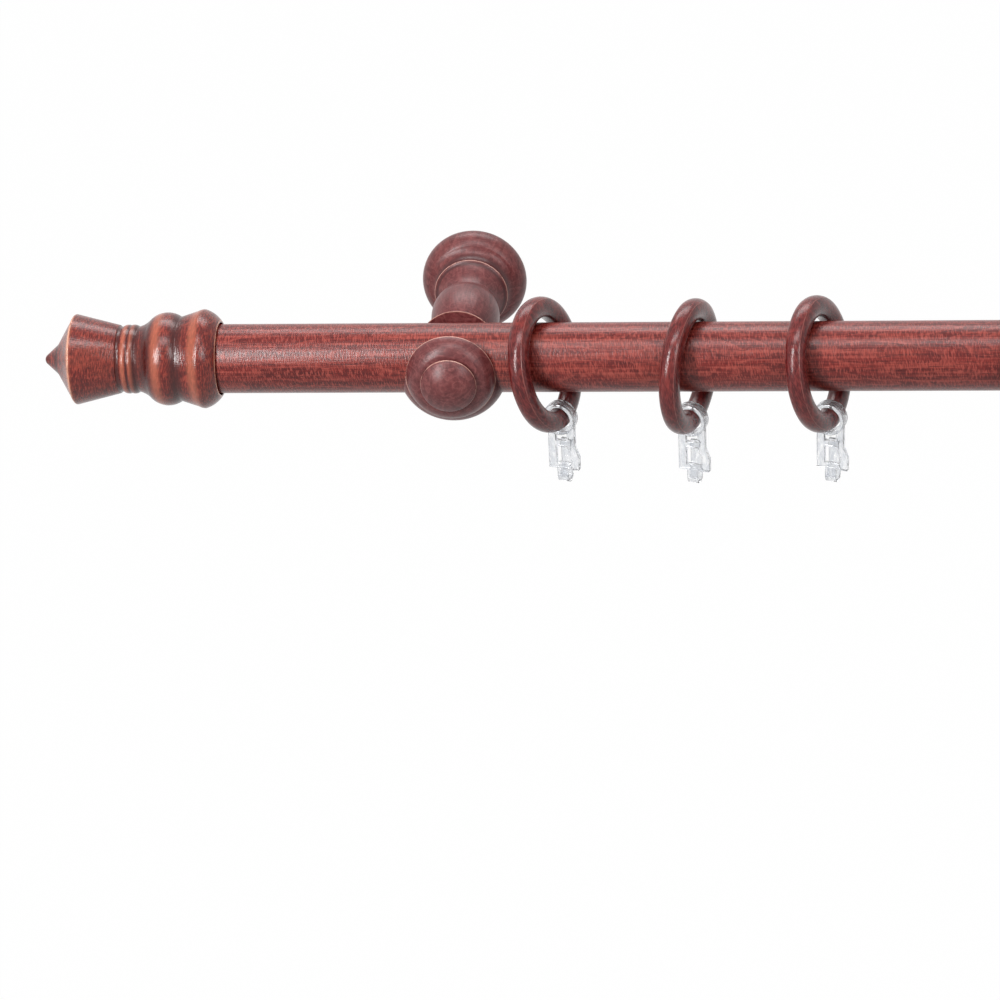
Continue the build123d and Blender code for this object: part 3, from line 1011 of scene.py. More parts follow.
@dataclass
class Finial:
    """The turned end piece: a sleeve with two beads, a small bead, and a trumpet with a nose.

    All sizes are in millimetres. A pair is a point of the outline: how far it lies outwards
    from the mouth, and its radius.

    Attributes:
        mouth_radius: Outer radius of the sleeve at its mouth.
        socket_radius: Radius of the hole that takes the pole.
        socket_depth: Depth of that hole.
        screw_radius: Radius of the hole for the screw.
        screw_depth: Depth of the screw's hole beyond the socket.
        bead: Crest of the first bead.
        bead_swell: How far the sleeve swells out on its way there.
        taper: Where the sleeve starts to run in.
        groove: The groove between the two beads.
        second_bead: Crest of the second bead.
        second_end: Where the second bead ends.
        neck_radius: Radius of the neck.
        neck_at: Where the small bead starts.
        neck_swell: How far the outline swells out on its way there, in if below zero.
        small_bead_length: Length of the small bead.
        small_bead_line: How far the line round its middle stands out of the neck.
        small_bead_swell: How far each half of it swells out.
        gap: Length of the plain neck behind it.
        step: Height of the step at the trumpet's foot.
        trumpet_length: Length of the trumpet.
        rim_radius: Radius of its rim.
        rim_round: Rounding of the rim.
        rim_swell: How full that rounding is, as a share of it.
        cone_length: Length of the cone between rim and nose.
        nose_radius: Radius of the nose at the cone.
        nose_length: Length of the nose.
        nose_end_radius: Radius of the nose at its end.
        nose_tip: Height of the dome on that end.
        arris: Rounding of the arrises.
    """

    mouth_radius: float = 15.3
    socket_radius: float = 14.7
    socket_depth: float = 24.0
    screw_radius: float = 2.6
    screw_depth: float = 24.0
    bead: Point = (6.4, 20.1)
    bead_swell: float = 0.9
    taper: Point = (8.8, 19.5)
    groove: Point = (16.2, 17.1)
    second_bead: Point = (21.8, 18.9)
    second_end: Point = (28.8, 15.7)
    neck_radius: float = 13.25
    neck_at: float = 33.5
    neck_swell: float = -0.35
    small_bead_length: float = 6.5
    small_bead_line: float = 0.5
    small_bead_swell: float = 0.5
    gap: float = 1.2
    step: float = 0.65
    trumpet_length: float = 17.8
    rim_radius: float = 18.4
    rim_round: float = 1.0
    rim_swell: float = 0.3
    cone_length: float = 6.6
    nose_radius: float = 6.3
    nose_length: float = 4.8
    nose_end_radius: float = 2.0
    nose_tip: float = 1.0
    arris: float = 0.18

    @property
    def small_end(self) -> float:
        """Where the small bead ends."""
        return self.neck_at + self.small_bead_length

    @property
    def rim_at(self) -> float:
        """Where the trumpet's rim is."""
        return self.small_end + self.gap + self.step / 2 + self.trumpet_length

    @property
    def line_at(self) -> float:
        """Where the line round the small bead is."""
        return self.neck_at + self.small_bead_length / 2

    @property
    def rim_face(self) -> Point:
        """Where the rounded rim meets the cone."""
        return (self.rim_at + self.rim_round, self.rim_radius - self.rim_round)

    @property
    def nose(self) -> Point:
        """Where the cone meets the nose."""
        return (self.rim_face[0] + self.cone_length, self.nose_radius)

    def outline(self) -> Outline:
        """Walks the whole outline, from the screw hole's end to the tip of the nose."""
        neck = self.neck_radius
        foot = self.small_end + self.gap
        nose_end = (self.nose[0] + self.nose_length, self.nose_end_radius)
        walk = Outline((self.socket_depth + self.screw_depth, 0.0))
        walk.line_to(
            (self.socket_depth + self.screw_depth, self.screw_radius),
            (self.socket_depth, self.screw_radius),
            (self.socket_depth, self.socket_radius),
            (0.0, self.socket_radius),
            (0.0, self.mouth_radius),
        )
        walk.swell_to(self.bead, self.bead_swell)
        walk.glide_to(self.taper, (1.0, 0.0))
        walk.line_to(self.groove)
        walk.arc_to(self.second_bead, self.second_end)
        walk.swell_to((self.neck_at, neck), self.neck_swell)
        walk.swell_to((self.line_at, neck + self.small_bead_line), self.small_bead_swell)
        walk.swell_to((self.small_end, neck), self.small_bead_swell)
        walk.line_to((foot, neck), (foot + self.step / 2, neck + self.step))
        walk.line_to((self.rim_at, self.rim_radius))
        walk.swell_to(self.rim_face, self.rim_swell * self.rim_round)
        walk.line_to(self.nose, nose_end)
        walk.land_at((nose_end[0] + self.nose_tip, 0.0), (0.0, 1.0))
        return walk

    def marks(self) -> Marks:
        """Where the finish is worn, where highlights are painted on crests and where shade is
        painted in grooves.

        Each hoop is given from a point of the outline: along, outwards, and its width.

        Returns:
            The marks.
        """
        line = (self.line_at, self.neck_radius)
        return Marks(
            worn=(
                Hoop(0.0, -0.2, 0.8).at((self.rim_at + self.rim_round / 2, self.rim_radius)),
                Hoop(0.0, 0.0, 0.6).at((0.0, self.mouth_radius)),
            ),
            # Painted highlights: pale copper bands a little outward of each crest, where the lamp
            # glints, partly thin stain
            thin_stain_and_highlight=(
                Hoop(2.6, -0.4, 3.2).at(self.bead),
                Hoop(2.6, -0.6, 3.4).at(self.second_bead),
                Hoop(-1.6, 0.8, 1.4).at(line),
                Hoop(1.6, 0.8, 1.4).at(line),
                Hoop(0.0, 0.0, 2.4).at(self.rim_face),
            ),
            # Painted shade: darker bands in the grooves and on the flank behind the second bead,
            # partly pooled stain
            gathered_stain_and_shade=(
                Hoop(0.0, 0.0, 4.4).at(self.groove),
                Hoop(0.0, 0.0, 5.4).at(self.second_end),
                Hoop(0.0, 0.0, 3.0).at((self.neck_at, self.neck_radius)),
                Hoop(0.0, self.small_bead_line, 0.8).at(line),
                Hoop(0.0, 0.0, 1.5).at((self.small_end + self.gap / 2, self.neck_radius)),
                Hoop(0.0, 0.0, 2.0).at(self.nose),
            ),
        )

    def build(self, side: Side, pole: Pole) -> None:
        """Turns and dresses one finial.

        Args:
            side: The end of the rod that it goes on.
            pole: The pole that it slips over.
        """
        low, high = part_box(f"finial_{side.value}")
        mouth = high.x if side is Side.LEFT else low.x
        start = Vector((mouth, pole.axis_start.y, pole.axis_start.z))
        lathe = Lathe(start, Vector((side.outward, 0, 0)), Vector((0, 0, 1)), steps=160)
        piece = lathe.turn(f"turned_finial_{side.value}", self.outline())
        ease_arrises(piece, self.arris)
        smooth(piece)
        turn = Matrix.Rotation(math.pi if side is Side.LEFT else 0.0, 4, "Z")
        lie = Matrix.Translation(start) @ turn
        seed = FINIAL_SEED + FINIAL_APART * side.outward
        wood = FINIAL_WOOD.material(f"stained_finial_{side.value}", lie, seed, self.marks())
        piece.data.materials.append(wood)
        settle(piece, "root", Slot.FINIAL, f"finial_{side.value}")


@dataclass
class Bracket:
    """The turned wall bracket: rosette, bulb and ball with a seat for the pole.

    Sizes are in millimetres, and outline places are measured out from the wall.

    Attributes:
        wall_distance: How far the pole's axis stands from the wall.
        seat_radius: Radius of the seat for the pole.
        seat_lift: How far the seat's axis lies above the bracket's.
        ball_radius: Radius of the ball at its crest.
        ball_forward: How far that crest lies in front of the pole's axis.
        front_lip_fall: How much smaller the ball is at the front of the seat.
        rear_lip_fall: How much smaller it is at the back of the seat.
        shoulder_length: Length of the shoulder between seat and groove.
        shoulder_swell: How far that shoulder swells out.
        button_radius: Radius of the button.
        button_groove_width: Width of the groove behind the button.
        button_groove_depth: Depth of that groove.
        button_lip: Length of the button's edge.
        button_lip_fall: How far that edge runs in.
        button_dome: Height of the button's dome.
        neck_radius: Radius of the neck behind the ball.
        ball_back_length: Length of the ball's back, from neck to seat.
        neck_length: Length of the neck.
        ball_back_swell: How far the ball's back swells out.
        bulb_radius: Radius of the bulb at its crest.
        bulb_forward: How far that crest lies in front of the throat.
        throat_radius: Radius of the throat between collar and bulb.
        throat_length: How far the throat lies in front of the collar.
        throat_cove: Depth of the cove between collar and throat.
        collar_radius: Radius of the collar.
        collar_step: Height of the step in front of the collar.
        collar_forward: How far the collar stands from the wall.
        rosette_radius: Radius of the rosette.
        rosette_edge: How far its widest place stands from the wall.
        rosette_back_round: Rounding of its back edge.
        rosette_shoulder: How far its shoulder stands from the wall.
        rosette_shoulder_fall: How much smaller the rosette is there.
        rosette_cove: Depth of the cove between that shoulder and the collar.
        bolt_radius: Radius of the hole for the wall bolt.
        bolt_depth: Depth of that hole.
        screw_radius: Radius of the hole for the pole's screw.
        screw_head_radius: Radius of the hole for that screw's head.
        screw_head_sink: How deep that head is sunk.
        arris: Rounding of the arrises.
    """

    wall_distance: float = 87.0
    seat_radius: float = 14.3
    seat_lift: float = 2.3
    ball_radius: float = 22.2
    ball_forward: float = 5.5
    front_lip_fall: float = 4.3
    rear_lip_fall: float = 6.1
    shoulder_length: float = 6.6
    shoulder_swell: float = 1.5
    button_radius: float = 11.3
    button_groove_width: float = 1.4
    button_groove_depth: float = 0.9
    button_lip: float = 0.9
    button_lip_fall: float = 0.3
    button_dome: float = 4.4
    neck_radius: float = 9.8
    ball_back_length: float = 9.0
    neck_length: float = 5.0
    ball_back_swell: float = 1.0
    bulb_radius: float = 14.1
    bulb_forward: float = 12.0
    throat_radius: float = 9.4
    throat_length: float = 11.0
    throat_cove: float = 1.2
    collar_radius: float = 15.5
    collar_step: float = 0.9
    collar_forward: float = 19.0
    rosette_radius: float = 22.1
    rosette_edge: float = 4.2
    rosette_back_round: float = 1.6
    rosette_shoulder: float = 11.0
    rosette_shoulder_fall: float = 3.6
    rosette_cove: float = 2.2
    bolt_radius: float = 3.1
    bolt_depth: float = 30.0
    screw_radius: float = 2.1
    screw_head_radius: float = 3.9
    screw_head_sink: float = 1.2
    arris: float = 0.16

    @property
    def rear_lip(self) -> Point:
        """The arris where the ball ends at the back of the seat."""
        return (self.wall_distance - self.seat_radius, self.ball_radius - self.rear_lip_fall)

    @property
    def front_lip(self) -> Point:
        """The arris where the ball ends at the front of the seat."""
        return (self.wall_distance + self.seat_radius, self.ball_radius - self.front_lip_fall)

    @property
    def groove_at(self) -> float:
        """Where the groove behind the button starts."""
        return self.front_lip[0] + self.shoulder_length

    @property
    def button_at(self) -> float:
        """Where the button starts."""
        return self.groove_at + self.button_groove_width

    def outline(self) -> Outline:
        """Walks the outline from the wall out to the tip of the button's dome."""
        neck_front = (self.rear_lip[0] - self.ball_back_length, self.neck_radius)
        neck_back = (neck_front[0] - self.neck_length, self.neck_radius)
        throat = (self.collar_forward + self.throat_length, self.throat_radius)
        bulb = (throat[0] + self.bulb_forward, self.bulb_radius)
        edge = (self.rosette_edge, self.rosette_radius)
        shoulder = (self.rosette_shoulder, self.rosette_radius - self.rosette_shoulder_fall)
        collar = (self.collar_forward, self.collar_radius)
        inner = (collar[0] + self.collar_step / 2, collar[1] - self.collar_step)
        crest = (self.wall_distance + self.ball_forward, self.ball_radius)
        groove = (self.groove_at, self.button_radius + self.button_groove_depth)
        floor = self.button_radius - self.button_groove_depth
        button = (self.button_at, self.button_radius)
        dome = (button[0] + self.button_lip, button[1] - self.button_lip_fall)
        hollow = (
            (shoulder[0] + collar[0]) / 2,
            (shoulder[1] + collar[1]) / 2 - self.rosette_cove,
        )
        cove = ((inner[0] + throat[0]) / 2, (inner[1] + throat[1]) / 2 - self.throat_cove)
        walk = Outline((0.0, 0.0)).line_to((0.0, self.rosette_radius - self.rosette_back_round))
        walk.land_at(edge, (-1.0, 0.0))
        walk.glide_to(shoulder, (1.0, 0.0))
        walk.arc_to(hollow, collar)
        walk.line_to(inner)
        walk.arc_to(cove, throat)
        walk.land_at(bulb, (-1.0, 0.0))
        walk.glide_to(neck_back, (1.0, 0.0))
        walk.line_to(neck_front)
        walk.swell_to(self.rear_lip, self.ball_back_swell)
        walk.land_at(crest, (-1.0, 0.0))
        walk.glide_to(self.front_lip, (1.0, 0.0))
        walk.swell_to(groove, self.shoulder_swell)
        walk.line_to((groove[0], floor), (button[0], floor), button, dome)
        walk.land_at((dome[0] + self.button_dome, 0.0), (0.0, 1.0))
        return walk

    def seat_cutter(self, x: float) -> bpy.types.Object:
        """Makes the shape of the seat: a long bar with a round underside, open upwards.

        Args:
            x: Where the bracket stands along the pole.

        Returns:
            The cutter.
        """
        radius = self.seat_radius * MM
        reach = 4 * self.ball_radius * MM
        centre = Vector((x, -self.wall_distance * MM, self.seat_lift * MM))
        deselect()
        bpy.ops.mesh.primitive_cylinder_add(
            vertices=192,
            radius=radius,
            depth=reach,
            location=centre,
            rotation=(0, math.radians(90), 0),
            enter_editmode=True,
        )
        bpy.ops.mesh.select_all(action="SELECT")
        bpy.ops.mesh.bisect(
            plane_co=centre,
            plane_no=(0, 0, 1),
            use_fill=True,
            clear_outer=True,
            threshold=0.001 * MM,
        )
        bpy.ops.mesh.extrude_region_move(TRANSFORM_OT_translate={"value": (0, 0, reach)})
        bpy.ops.object.mode_set(mode="OBJECT")
        cutter = bpy.context.object
        bpy.ops.object.transform_apply(location=True, rotation=True, scale=True)
        return cutter

    def bore(self, start: Vector, axis: Vector, steps: Sequence[Point]) -> bpy.types.Object:
        """Makes a round cutter along an axis.

        Args:
            start: Where its axis starts.
            axis: Where it points.
            steps: Its outline: distance along the axis and radius, in millimetres.

        Returns:
            The cutter.
        """
        up = Vector((1, 0, 0))
        walk = Outline((steps[0][0], 0.0)).line_to(*steps, (steps[-1][0], 0.0))
        return Lathe(start, axis, up, steps=48).turn("cutter", walk)

    def build(self, side: Side) -> bpy.types.Object:
        """Turns one bracket and cuts its seat and bores.

        Args:
            side: The end of the rod that it stands near.

        Returns:
            The finished piece.
        """
        x = centre_of(f"bracket_{side.value}").x
        start = Vector((round(x / MM) * MM, 0, 0))
        away = Vector((0, -1, 0))
        piece = Lathe(start, away, Vector((0, 0, 1)), steps=160).turn(
            f"turned_bracket_{side.value}", self.outline()
        )
        ease_arrises(piece, self.arris)
        cut(piece, self.seat_cutter(start.x))
        head = self.screw_head_sink - self.ball_radius
        outside = -1.5 * self.ball_radius
        under = Vector((start.x, -self.wall_distance * MM, 0))
        taper = self.screw_head_radius - self.screw_radius
        cut(
            piece,
            self.bore(
                under,
                Vector((0, 0, 1)),
                (
                    (outside, self.screw_head_radius),
                    (head, self.screw_head_radius),
                    (head + taper, self.screw_radius),
                    (0.0, self.screw_radius),
                ),
            ),
        )
        cut(
            piece,
            self.bore(
                start,
                away,
                ((-self.bolt_depth, self.bolt_radius), (self.bolt_depth, self.bolt_radius)),
            ),
        )
        smooth(piece, angle=32.0)
        return piece

    def dress(self, piece: bpy.types.Object, side: Side) -> None:
        """Gives a bracket its wood and ties it to its body.

        Args:
            piece: The bracket.
            side: The end of the rod that it stands near.
        """
        start = Vector((centre_of(f"bracket_{side.value}").x, 0, 0))
        lie = Matrix.Translation(start) @ GRAIN_ALONG_WALL
        seed = BRACKET_SEED + BRACKET_APART * side.outward
        collar = (self.collar_forward, self.collar_radius)
        marks = Marks(
            worn=(
                Hoop(*self.front_lip, 0.5),
                Hoop(*self.rear_lip, 0.5),
                Hoop(self.button_at + self.button_lip / 2, self.button_radius, 0.5),
                Hoop(*collar, 0.4),
            ),
            # Painted shade: darker bands in the button's groove and in the cove behind the collar,
            # partly pooled stain
            gathered_stain_and_shade=(
                Hoop(
                    self.groove_at + self.button_groove_width / 2,
                    self.button_radius - self.button_groove_depth,
                    0.9,
                ),
                Hoop(-4.0, -1.0, 3.5).at(collar),
                Hoop(0.8, -1.2, 1.2).at(collar),
            ),
        )
        wood = BRACKET_WOOD.material(f"stained_bracket_{side.value}", lie, seed, marks)
        piece.data.materials.clear()
        piece.data.materials.append(wood)
        settle(piece, "root", Slot.BRACKET, f"bracket_{side.value}")


@dataclass
class Rings:
    """The turned rings that hang on the pole, all of one shape.

    Attributes:
        bore_radius: Radius of the opening, in millimetres.
        thickness: Thickness on the radius, in millimetres.
        width: Width along the ring's axis, in millimetres.
        arris_width: Distance between the two arrises of the inside or outside.
        arris_height: Distance on the radius between the arrises of one side.
        wear: Width of the worn line on each outer arris, in millimetres.
        arris: Rounding of the arrises, in millimetres.
        arris_angle: Angle from which an edge counts as an arris, in degrees.
    """

    bore_radius: float = 18.7
    thickness: float = 8.8
    width: float = 8.3
    arris_width: float = 6.0
    arris_height: float = 6.7
    wear: float = 0.28
    arris: float = 0.22
    arris_angle: float = 18.0

    @property
    def middle(self) -> float:
        """Radius of the middle of a ring's section, in millimetres."""
        return self.bore_radius + self.thickness / 2

    @property
    def outer_arris(self) -> Point:
        """The outer arris on the ring's positive side, from its middle."""
        return (self.arris_width / 2, self.middle + self.arris_height / 2)

    @property
    def names(self) -> list[str]:
        """The names of the rings' CAD nodes."""
        return sorted(name for name in frame["nodes"] if name.startswith("ring_"))

    def pattern(self) -> bpy.types.Object:
        """Turns one ring about the X axis, at the origin."""
        side, out = self.outer_arris
        back = self.middle - self.arris_height / 2
        walk = Outline((-side, out))
        walk.arc_to((0.0, self.middle + self.thickness / 2), (side, out))
        walk.arc_to((self.width / 2, self.middle), (side, back))
        walk.arc_to((0.0, self.middle - self.thickness / 2), (-side, back))
        walk.arc_to((-self.width / 2, self.middle), (-side, out))
        lathe = Lathe(Vector((0, 0, 0)), Vector((1, 0, 0)), Vector((0, 0, 1)), steps=144)
        ring = lathe.turn("ring_pattern", walk)
        ease_arrises(ring, self.arris, self.arris_angle)
        smooth(ring)
        return ring

    def lie(self, node: str) -> Matrix:
        """Where a ring's own frame is: X across it and Z up in its plane."""
        axis = flat_axis_of(node)
        up = (Vector((0, 0, 1)) - axis * axis.z).normalized()
        side = up.cross(axis)
        turned = Matrix((axis, side, up)).transposed().to_4x4()
        return Matrix.Translation(centre_of(node)) @ turned

    def marks(self) -> Marks:
        """Where the finish is worn."""
        side, out = self.outer_arris
        return Marks(worn=(Hoop(-side, out, self.wear), Hoop(side, out, self.wear)))

    def build(self) -> None:
        """Copies the pattern to each ring's place and dresses each copy."""
        pattern = self.pattern()
        for index, node in enumerate(self.names):
            lie = self.lie(node)
            seed = RING_SEED + RING_APART * index
            ring = copy_of(pattern, f"turned_{node}", lie)
            wood = RING_WOOD.material(f"stained_{node}", lie, seed, self.marks())
            ring.data.materials.append(wood)
            settle(ring, node, Slot.RING, node)
        bpy.data.objects.remove(pattern)


@dataclass
class Hooks:
    """The clear hooks under the rings, moulded in one with rounded arrises.

    Attributes:
        arris: Rounding of the moulding's arrises, in millimetres.
        arris_angle: Angle from which an edge counts as an arris, in degrees.
        flat: Angle under which neighbouring faces count as one flat, in degrees.
    """

    arris: float = 0.18
    arris_angle: float = 35.0
    flat: float = 0.5

    @property
    def names(self) -> list[str]:
        """The names of the hooks' CAD nodes."""
        return sorted(name for name in frame["nodes"] if name.startswith("hook_"))

    def mould(self, node: str) -> bpy.types.Object:
        """Makes one hook from its CAD shape, with its flats whole and its arrises rounded.

        Args:
            node: The hook's CAD node.

        Returns:
            The hook.
        """
        hook = copy_of(frame["nodes"][node], f"moulded_{node}", Matrix.Identity(4))
        hook.parent = None
        hook.data.materials.clear()
        pick(hook)
        bpy.ops.object.mode_set(mode="EDIT")
        bpy.ops.mesh.select_all(action="SELECT")
        bpy.ops.mesh.remove_doubles(threshold=WELD * MM)
        bpy.ops.mesh.customdata_custom_splitnormals_clear()
        bpy.ops.mesh.dissolve_limited(angle_limit=math.radians(self.flat))
        bpy.ops.object.mode_set(mode="OBJECT")
        ease_arrises(hook, self.arris, self.arris_angle)
        smooth(hook, angle=30.0)
        return hook

    def build(self) -> None:
        """Moulds and dresses every hook."""
        for index, node in enumerate(self.names):
            hook = self.mould(node)
            plastic = HOOK_PLASTIC.material(f"clear_{node}", HOOK_APART * index)
            hook.data.materials.append(plastic)
            settle(hook, node, Slot.HOOK, node)


@dataclass
class WallBolt:
    """The double-ended bolt in the back of a bracket, with its wood thread.

    Sizes are in millimetres.

    Attributes:
        shank: Radius of the part in the bracket.
        shank_length: Length of that part.
        shank_bevel: Bevel on its end.
        plain: Length of the plain collar behind the bracket.
        core: Radius of the wood thread's core.
        crest: Radius of the wood thread and of the collar.
        run_in: Length of the slope from the collar to the core.
        thread_length: Length of the bolt's even part, from the bracket on.
        point: Length of its point.
        tip: Length of the blunt end of the point.
        tip_radius: Radius where that end starts.
        point_share: How much of the thread's height is left at the tip.
        pitch: Distance from turn to turn of the thread.
        ridge_start: Where the ridge starts behind the collar.
        ridge_stop: How far it keeps from the tip.
        ridge_foot: Width of the ridge's foot, as a share of the pitch.
        flank: Width of each of the ridge's flanks, as a share of its foot.
        flat: Width of the ridge's top, as a share of its foot.
        sink: How deep the ridge's foot lies in the core.
        draws: In how many steps the ridge is drawn in.
        draw_start: How far before the point that starts.
    """

    shank: float = 2.95
    shank_length: float = 30.0
    shank_bevel: float = 0.5
    plain: float = 6.0
    core: float = 1.95
    crest: float = 2.78
    run_in: float = 0.8
    thread_length: float = 38.0
    point: float = 7.0
    tip: float = 0.6
    tip_radius: float = 0.35
    point_share: float = 0.25
    pitch: float = 2.6
    ridge_start: float = 0.4
    ridge_stop: float = 2.0
    ridge_foot: float = 0.5
    flank: float = 0.42
    flat: float = 0.16
    sink: float = 0.15
    draws: int = 24
    draw_start: float = 1.0

    def core_outline(self) -> Outline:
        """Walks the bolt's core from its end in the bracket to its point."""
        end = self.thread_length + self.point
        walk = Outline((-self.shank_length, 0.0))
        walk.line_to(
            (-self.shank_length, self.shank - self.shank_bevel),
            (self.shank_bevel - self.shank_length, self.shank),
            (0.0, self.shank),
            (0.0, self.crest),
            (self.plain, self.crest),
            (self.plain + self.run_in, self.core),
            (self.thread_length, self.core),
            (end - self.tip, self.tip_radius),
            (end, 0.0),
        )
        return walk

    def ridge(self) -> bpy.types.Object:
        """Winds the wood thread's ridge round the core and tapers it with the point."""
        height = (self.crest - self.core) * MM
        length = self.thread_length + self.point - self.plain - self.ridge_stop
        turns = int(length / self.pitch)
        start = (self.plain + self.ridge_start) * MM
        foot = self.ridge_foot * self.pitch * MM
        deselect()
        bpy.ops.mesh.primitive_circle_add(
            vertices=3,
            radius=foot / 2,
            fill_type="NOTHING",
            location=(0, start, 0),
            enter_editmode=True,
        )
        bpy.ops.mesh.merge(type="CENTER")
        bpy.ops.transform.translate(value=(0, -foot / 2, (self.core - self.sink) * MM))
        rise = height + self.sink * MM
        flank, flat = self.flank * foot, self.flat * foot
        for step in ((0, flank, rise), (0, flat, 0), (0, flank, -rise)):
            bpy.ops.mesh.extrude_vertices_move(TRANSFORM_OT_translate={"value": step})
        bpy.ops.mesh.select_all(action="SELECT")
        bpy.ops.mesh.edge_face_add()
        bpy.ops.mesh.delete(type="ONLY_FACE")
        bpy.ops.object.mode_set(mode="OBJECT")
        ridge = bpy.context.object
        bpy.ops.object.transform_apply(location=True)
        finish_with(
            ridge,
            "SCREW",
            axis="Y",
            angle=math.tau,
            screw_offset=self.pitch * MM,
            iterations=turns,
            steps=32,
            render_steps=32,
            use_smooth_shade=False,
        )
        bpy.ops.object.mode_set(mode="EDIT")
        bpy.ops.mesh.select_all(action="SELECT")
        bpy.ops.mesh.remove_doubles(threshold=WELD * MM)
        bpy.ops.mesh.fill_holes(sides=4)
        bpy.ops.mesh.select_all(action="SELECT")
        bpy.ops.mesh.normals_make_consistent(inside=False)
        bpy.ops.object.mode_set(mode="OBJECT")
        self.sharpen(ridge)
        return ridge

    def sharpen(self, ridge: bpy.types.Object) -> None:
        """Draws the ridge in step by step towards the bolt's point."""
        reach = self.point + self.draw_start
        draw = self.point_share ** (1 / self.draws)
        for index in range(self.draws):
            left = reach * (1 - index / self.draws)
            beyond = (self.thread_length + self.point - left) * MM
            pick(ridge)
            bpy.ops.object.mode_set(mode="EDIT")
            bpy.ops.mesh.select_all(action="DESELECT")
            bpy.ops.object.mode_set(mode="OBJECT")
            for vertex in ridge.data.vertices:
                vertex.select = vertex.co.y > beyond
            bpy.ops.object.mode_set(mode="EDIT")
            bpy.ops.transform.resize(value=(draw, 1, draw), center_override=(0, 0, 0))
            bpy.ops.object.mode_set(mode="OBJECT")

    def build(self, side: Side) -> None:
        """Makes and dresses one bolt at its bracket.

        Args:
            side: The end of the rod.
        """
        core = Lathe(Vector((0, 0, 0)), Vector((0, 1, 0)), Vector((0, 0, 1)), steps=48).turn(
            f"threaded_bolt_{side.value}", self.core_outline()
        )
        ridge = self.ridge()
        pick(core)
        ridge.select_set(True)
        bpy.ops.object.join()
        smooth(core, angle=35.0)
        x = round(centre_of(f"wall_bolt_{side.value}").x / MM) * MM
        core.data.transform(Matrix.Translation((x, 0, 0)))
        core.data.materials.append(ZINC.material(f"zinc_bolt_{side.value}"))
        settle(core, "root", Slot.STEEL, f"wall_bolt_{side.value}")


def dress_small_steel() -> None:
    """Gives the screws that stay as their CAD nodes their plating."""
    for name, node in frame["nodes"].items():
        if "screw" in name:
            node.data.materials.clear()
            node.data.materials.append(ZINC.material(f"zinc_{name}"))
            log.info("%s: plated", name)


@dataclass(frozen=True)
class Softbox:
    """A soft studio lamp.

    Attributes:
        name: What the lamp is called.
        azimuth: Where it stands, in degrees to the right of the camera's side.
        elevation: How high it stands, in degrees.
        distance: How far it is from the bracket, in metres.
        width: Its width, in metres.
        height: Its height, in metres.
        power: Its power, in watts.
    """

    name: str
    azimuth: float
    elevation: float
    distance: float
    width: float
    height: float
    power: float

    def build(self, target: Vector) -> None:
        """Sets the lamp up, turned to a target."""
        turn, rise = math.radians(self.azimuth), math.radians(self.elevation)
        away = Vector(
            (math.sin(turn) * math.cos(rise), -math.cos(turn) * math.cos(rise), math.sin(rise))
        )
        lamp = bpy.data.lights.new(self.name, "AREA")
        lamp.shape = "RECTANGLE"
        lamp.size, lamp.size_y = self.width, self.height
        lamp.energy = self.power
        holder = bpy.data.objects.new(self.name, lamp)
        holder.location = target + away * self.distance
        holder.rotation_mode = "QUATERNION"
        holder.rotation_quaternion = (-away).to_track_quat("-Z", "Y")
        bpy.context.collection.objects.link(holder)


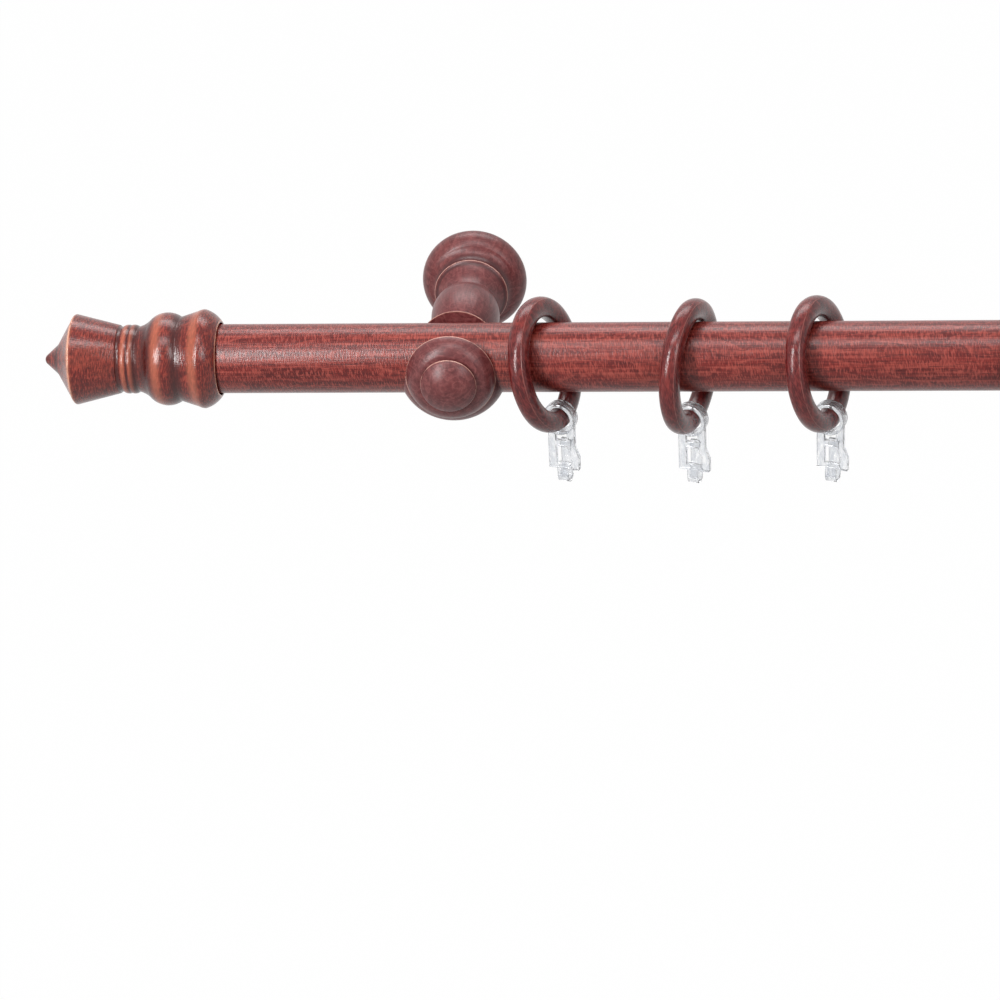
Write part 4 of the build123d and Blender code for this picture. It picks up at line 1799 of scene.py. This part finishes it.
@dataclass
class Studio:
    """The plain pale room that the rod is seen in: floor, world, lamps and camera.

    Attributes:
        floor_drop: How far the floor lies under the wall bolts, in metres.
        ambient: Strength of the even light from all round.
        camera_place: Where the camera stands.
        camera_pan: How far it is turned to the left, in degrees.
        camera_pitch: How far it looks down, in degrees.
        lens: Its focal length, in millimetres.
        sensor: Width of its sensor, in millimetres.
        clip: Nearest and farthest distance that it sees, in metres.
        floor_radius: Radius of the floor, in metres.
        floor_shades: The floor's two greys, as the lamps see them.
        floor_white: How much of the floor the camera sees as plain white, from 0 to 1.
        target: What the lamps are turned to, the middle of the left bracket.
        lamps: The soft lamps.
    """

    floor_drop: float = 0.62
    floor_radius: float = 9.0
    floor_shades: tuple[Colour, Colour] = ((0.40, 0.40, 0.40), (0.43, 0.43, 0.43))
    floor_white: float = 0.995
    ambient: float = 0.1
    camera_place: Vector = field(default_factory=lambda: Vector((0.1657, -1.350, 0.5853)))
    camera_pan: float = 6.039
    camera_pitch: float = 27.152
    lens: float = 125.07
    sensor: float = 36.0
    clip: tuple[float, float] = (0.05, 60.0)
    target: Vector = field(default_factory=lambda: Vector((0, -0.087, 0)))
    lamps: tuple[Softbox, ...] = (
        Softbox("left_softbox", -36.0, 28.5, 1.7, 0.24, 1.1, 28.0),
        Softbox("top_softbox", 4.0, 70.0, 1.6, 1.2, 0.4, 11.0),
        Softbox("right_softbox", 47.0, 32.0, 1.8, 0.5, 0.8, 9.0),
        Softbox("back_softbox", 178.0, 52.0, 1.7, 1.6, 0.6, 14.0),
    )

    def background_share(self, tree: bpy.types.NodeTree) -> bpy.types.NodeSocket:
        """Marks the rays that should see the plain background.

        Args:
            tree: The node tree to work in.

        Returns:
            The socket of the mark: camera, glossy and transmission rays.
        """
        path = tree.nodes.new("ShaderNodeLightPath")
        mark = path.outputs["Is Camera Ray"]
        for kind in ("Is Glossy Ray", "Is Transmission Ray"):
            larger = tree.nodes.new("ShaderNodeMath")
            larger.operation = "MAXIMUM"
            tree.links.new(mark, larger.inputs[0])
            tree.links.new(path.outputs[kind], larger.inputs[1])
            mark = larger.outputs[0]
        return mark

    def light_world(self) -> None:
        """Gives the world its even light and its white background."""
        world = bpy.data.worlds.new("studio_air")
        bpy.context.scene.world = world
        world.use_nodes = True
        tree = world.node_tree
        tree.nodes.clear()
        air = tree.nodes.new("ShaderNodeBackground")
        air.inputs["Strength"].default_value = self.ambient
        white = tree.nodes.new("ShaderNodeBackground")
        white.inputs["Strength"].default_value = 1.0
        for background in (air, white):
            background.inputs["Color"].default_value = (1, 1, 1, 1)
        mix = tree.nodes.new("ShaderNodeMixShader")
        tree.links.new(self.background_share(tree), mix.inputs[0])
        tree.links.new(air.outputs[0], mix.inputs[1])
        tree.links.new(white.outputs[0], mix.inputs[2])
        output = tree.nodes.new("ShaderNodeOutputWorld")
        tree.links.new(mix.outputs[0], output.inputs["Surface"])

    def lay_floor(self) -> None:
        """Lays the pale floor, which shows white and keeps a soft shadow."""
        deselect()
        bpy.ops.mesh.primitive_circle_add(
            vertices=96,
            radius=self.floor_radius,
            fill_type="NGON",
            location=(0, 0, -self.floor_drop),
        )
        floor = bpy.context.object
        floor.name = "pale_floor"
        bench = Bench("pale_floor")
        speck = bench.noise(bench.local(Matrix.Identity(4)), FLOOR_SPECKS_TO_MM, 3.0)
        colour = bench.blend(speck, *self.floor_shades)
        matt = bench.add("ShaderNodeBsdfDiffuse", Color=colour)
        glow = bench.add("ShaderNodeEmission", Color=(1, 1, 1, 1), Strength=1.0)
        mix = bench.add("ShaderNodeMixShader")
        share = bench.sum("MULTIPLY", self.background_share(bench.tree), self.floor_white)
        bench.feed(mix.inputs[0], share)
        bench.feed(mix.inputs[1], matt.outputs[0])
        bench.feed(mix.inputs[2], glow.outputs[0])
        floor.data.materials.append(bench.close(mix))

    def place_camera(self) -> None:
        """Stands the camera where the rod is seen as from the room."""
        pan, pitch = math.radians(self.camera_pan), math.radians(self.camera_pitch)
        ahead = Vector((0, math.cos(pitch), -math.sin(pitch)))
        up = Vector((0, math.sin(pitch), math.cos(pitch)))
        right = Vector((1, 0, 0))
        forward = ahead * math.cos(pan) - right * math.sin(pan)
        side = right * math.cos(pan) + ahead * math.sin(pan)
        lens = bpy.data.cameras.new("camera")
        lens.lens = self.lens
        lens.sensor_width = self.sensor
        lens.clip_start, lens.clip_end = self.clip
        camera = bpy.data.objects.new("camera", lens)
        turned = Matrix((side, up, -forward)).transposed().to_4x4()
        camera.matrix_world = Matrix.Translation(self.camera_place) @ turned
        bpy.context.collection.objects.link(camera)
        bpy.context.scene.camera = camera

    def build(self) -> None:
        """Builds the room, the light and the camera."""
        self.light_world()
        self.lay_floor()
        self.place_camera()
        for lamp in self.lamps:
            lamp.build(self.target)
        bpy.context.scene.view_settings.view_transform = "Standard"


def main() -> None:
    """Builds the rod's pieces in order and reports each one."""
    logging.basicConfig(level=logging.INFO, format="%(name)s: %(message)s")
    pole = Pole()
    pole.dress(pole.build())
    finial = Finial()
    bracket = Bracket()
    bolt = WallBolt()
    for side in Side:
        finial.build(side, pole)
        bracket.dress(bracket.build(side), side)
        bolt.build(side)
    Rings().build()
    Hooks().build()
    dress_small_steel()
    Studio().build()
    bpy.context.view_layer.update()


if __name__ == "__main__":
    main()
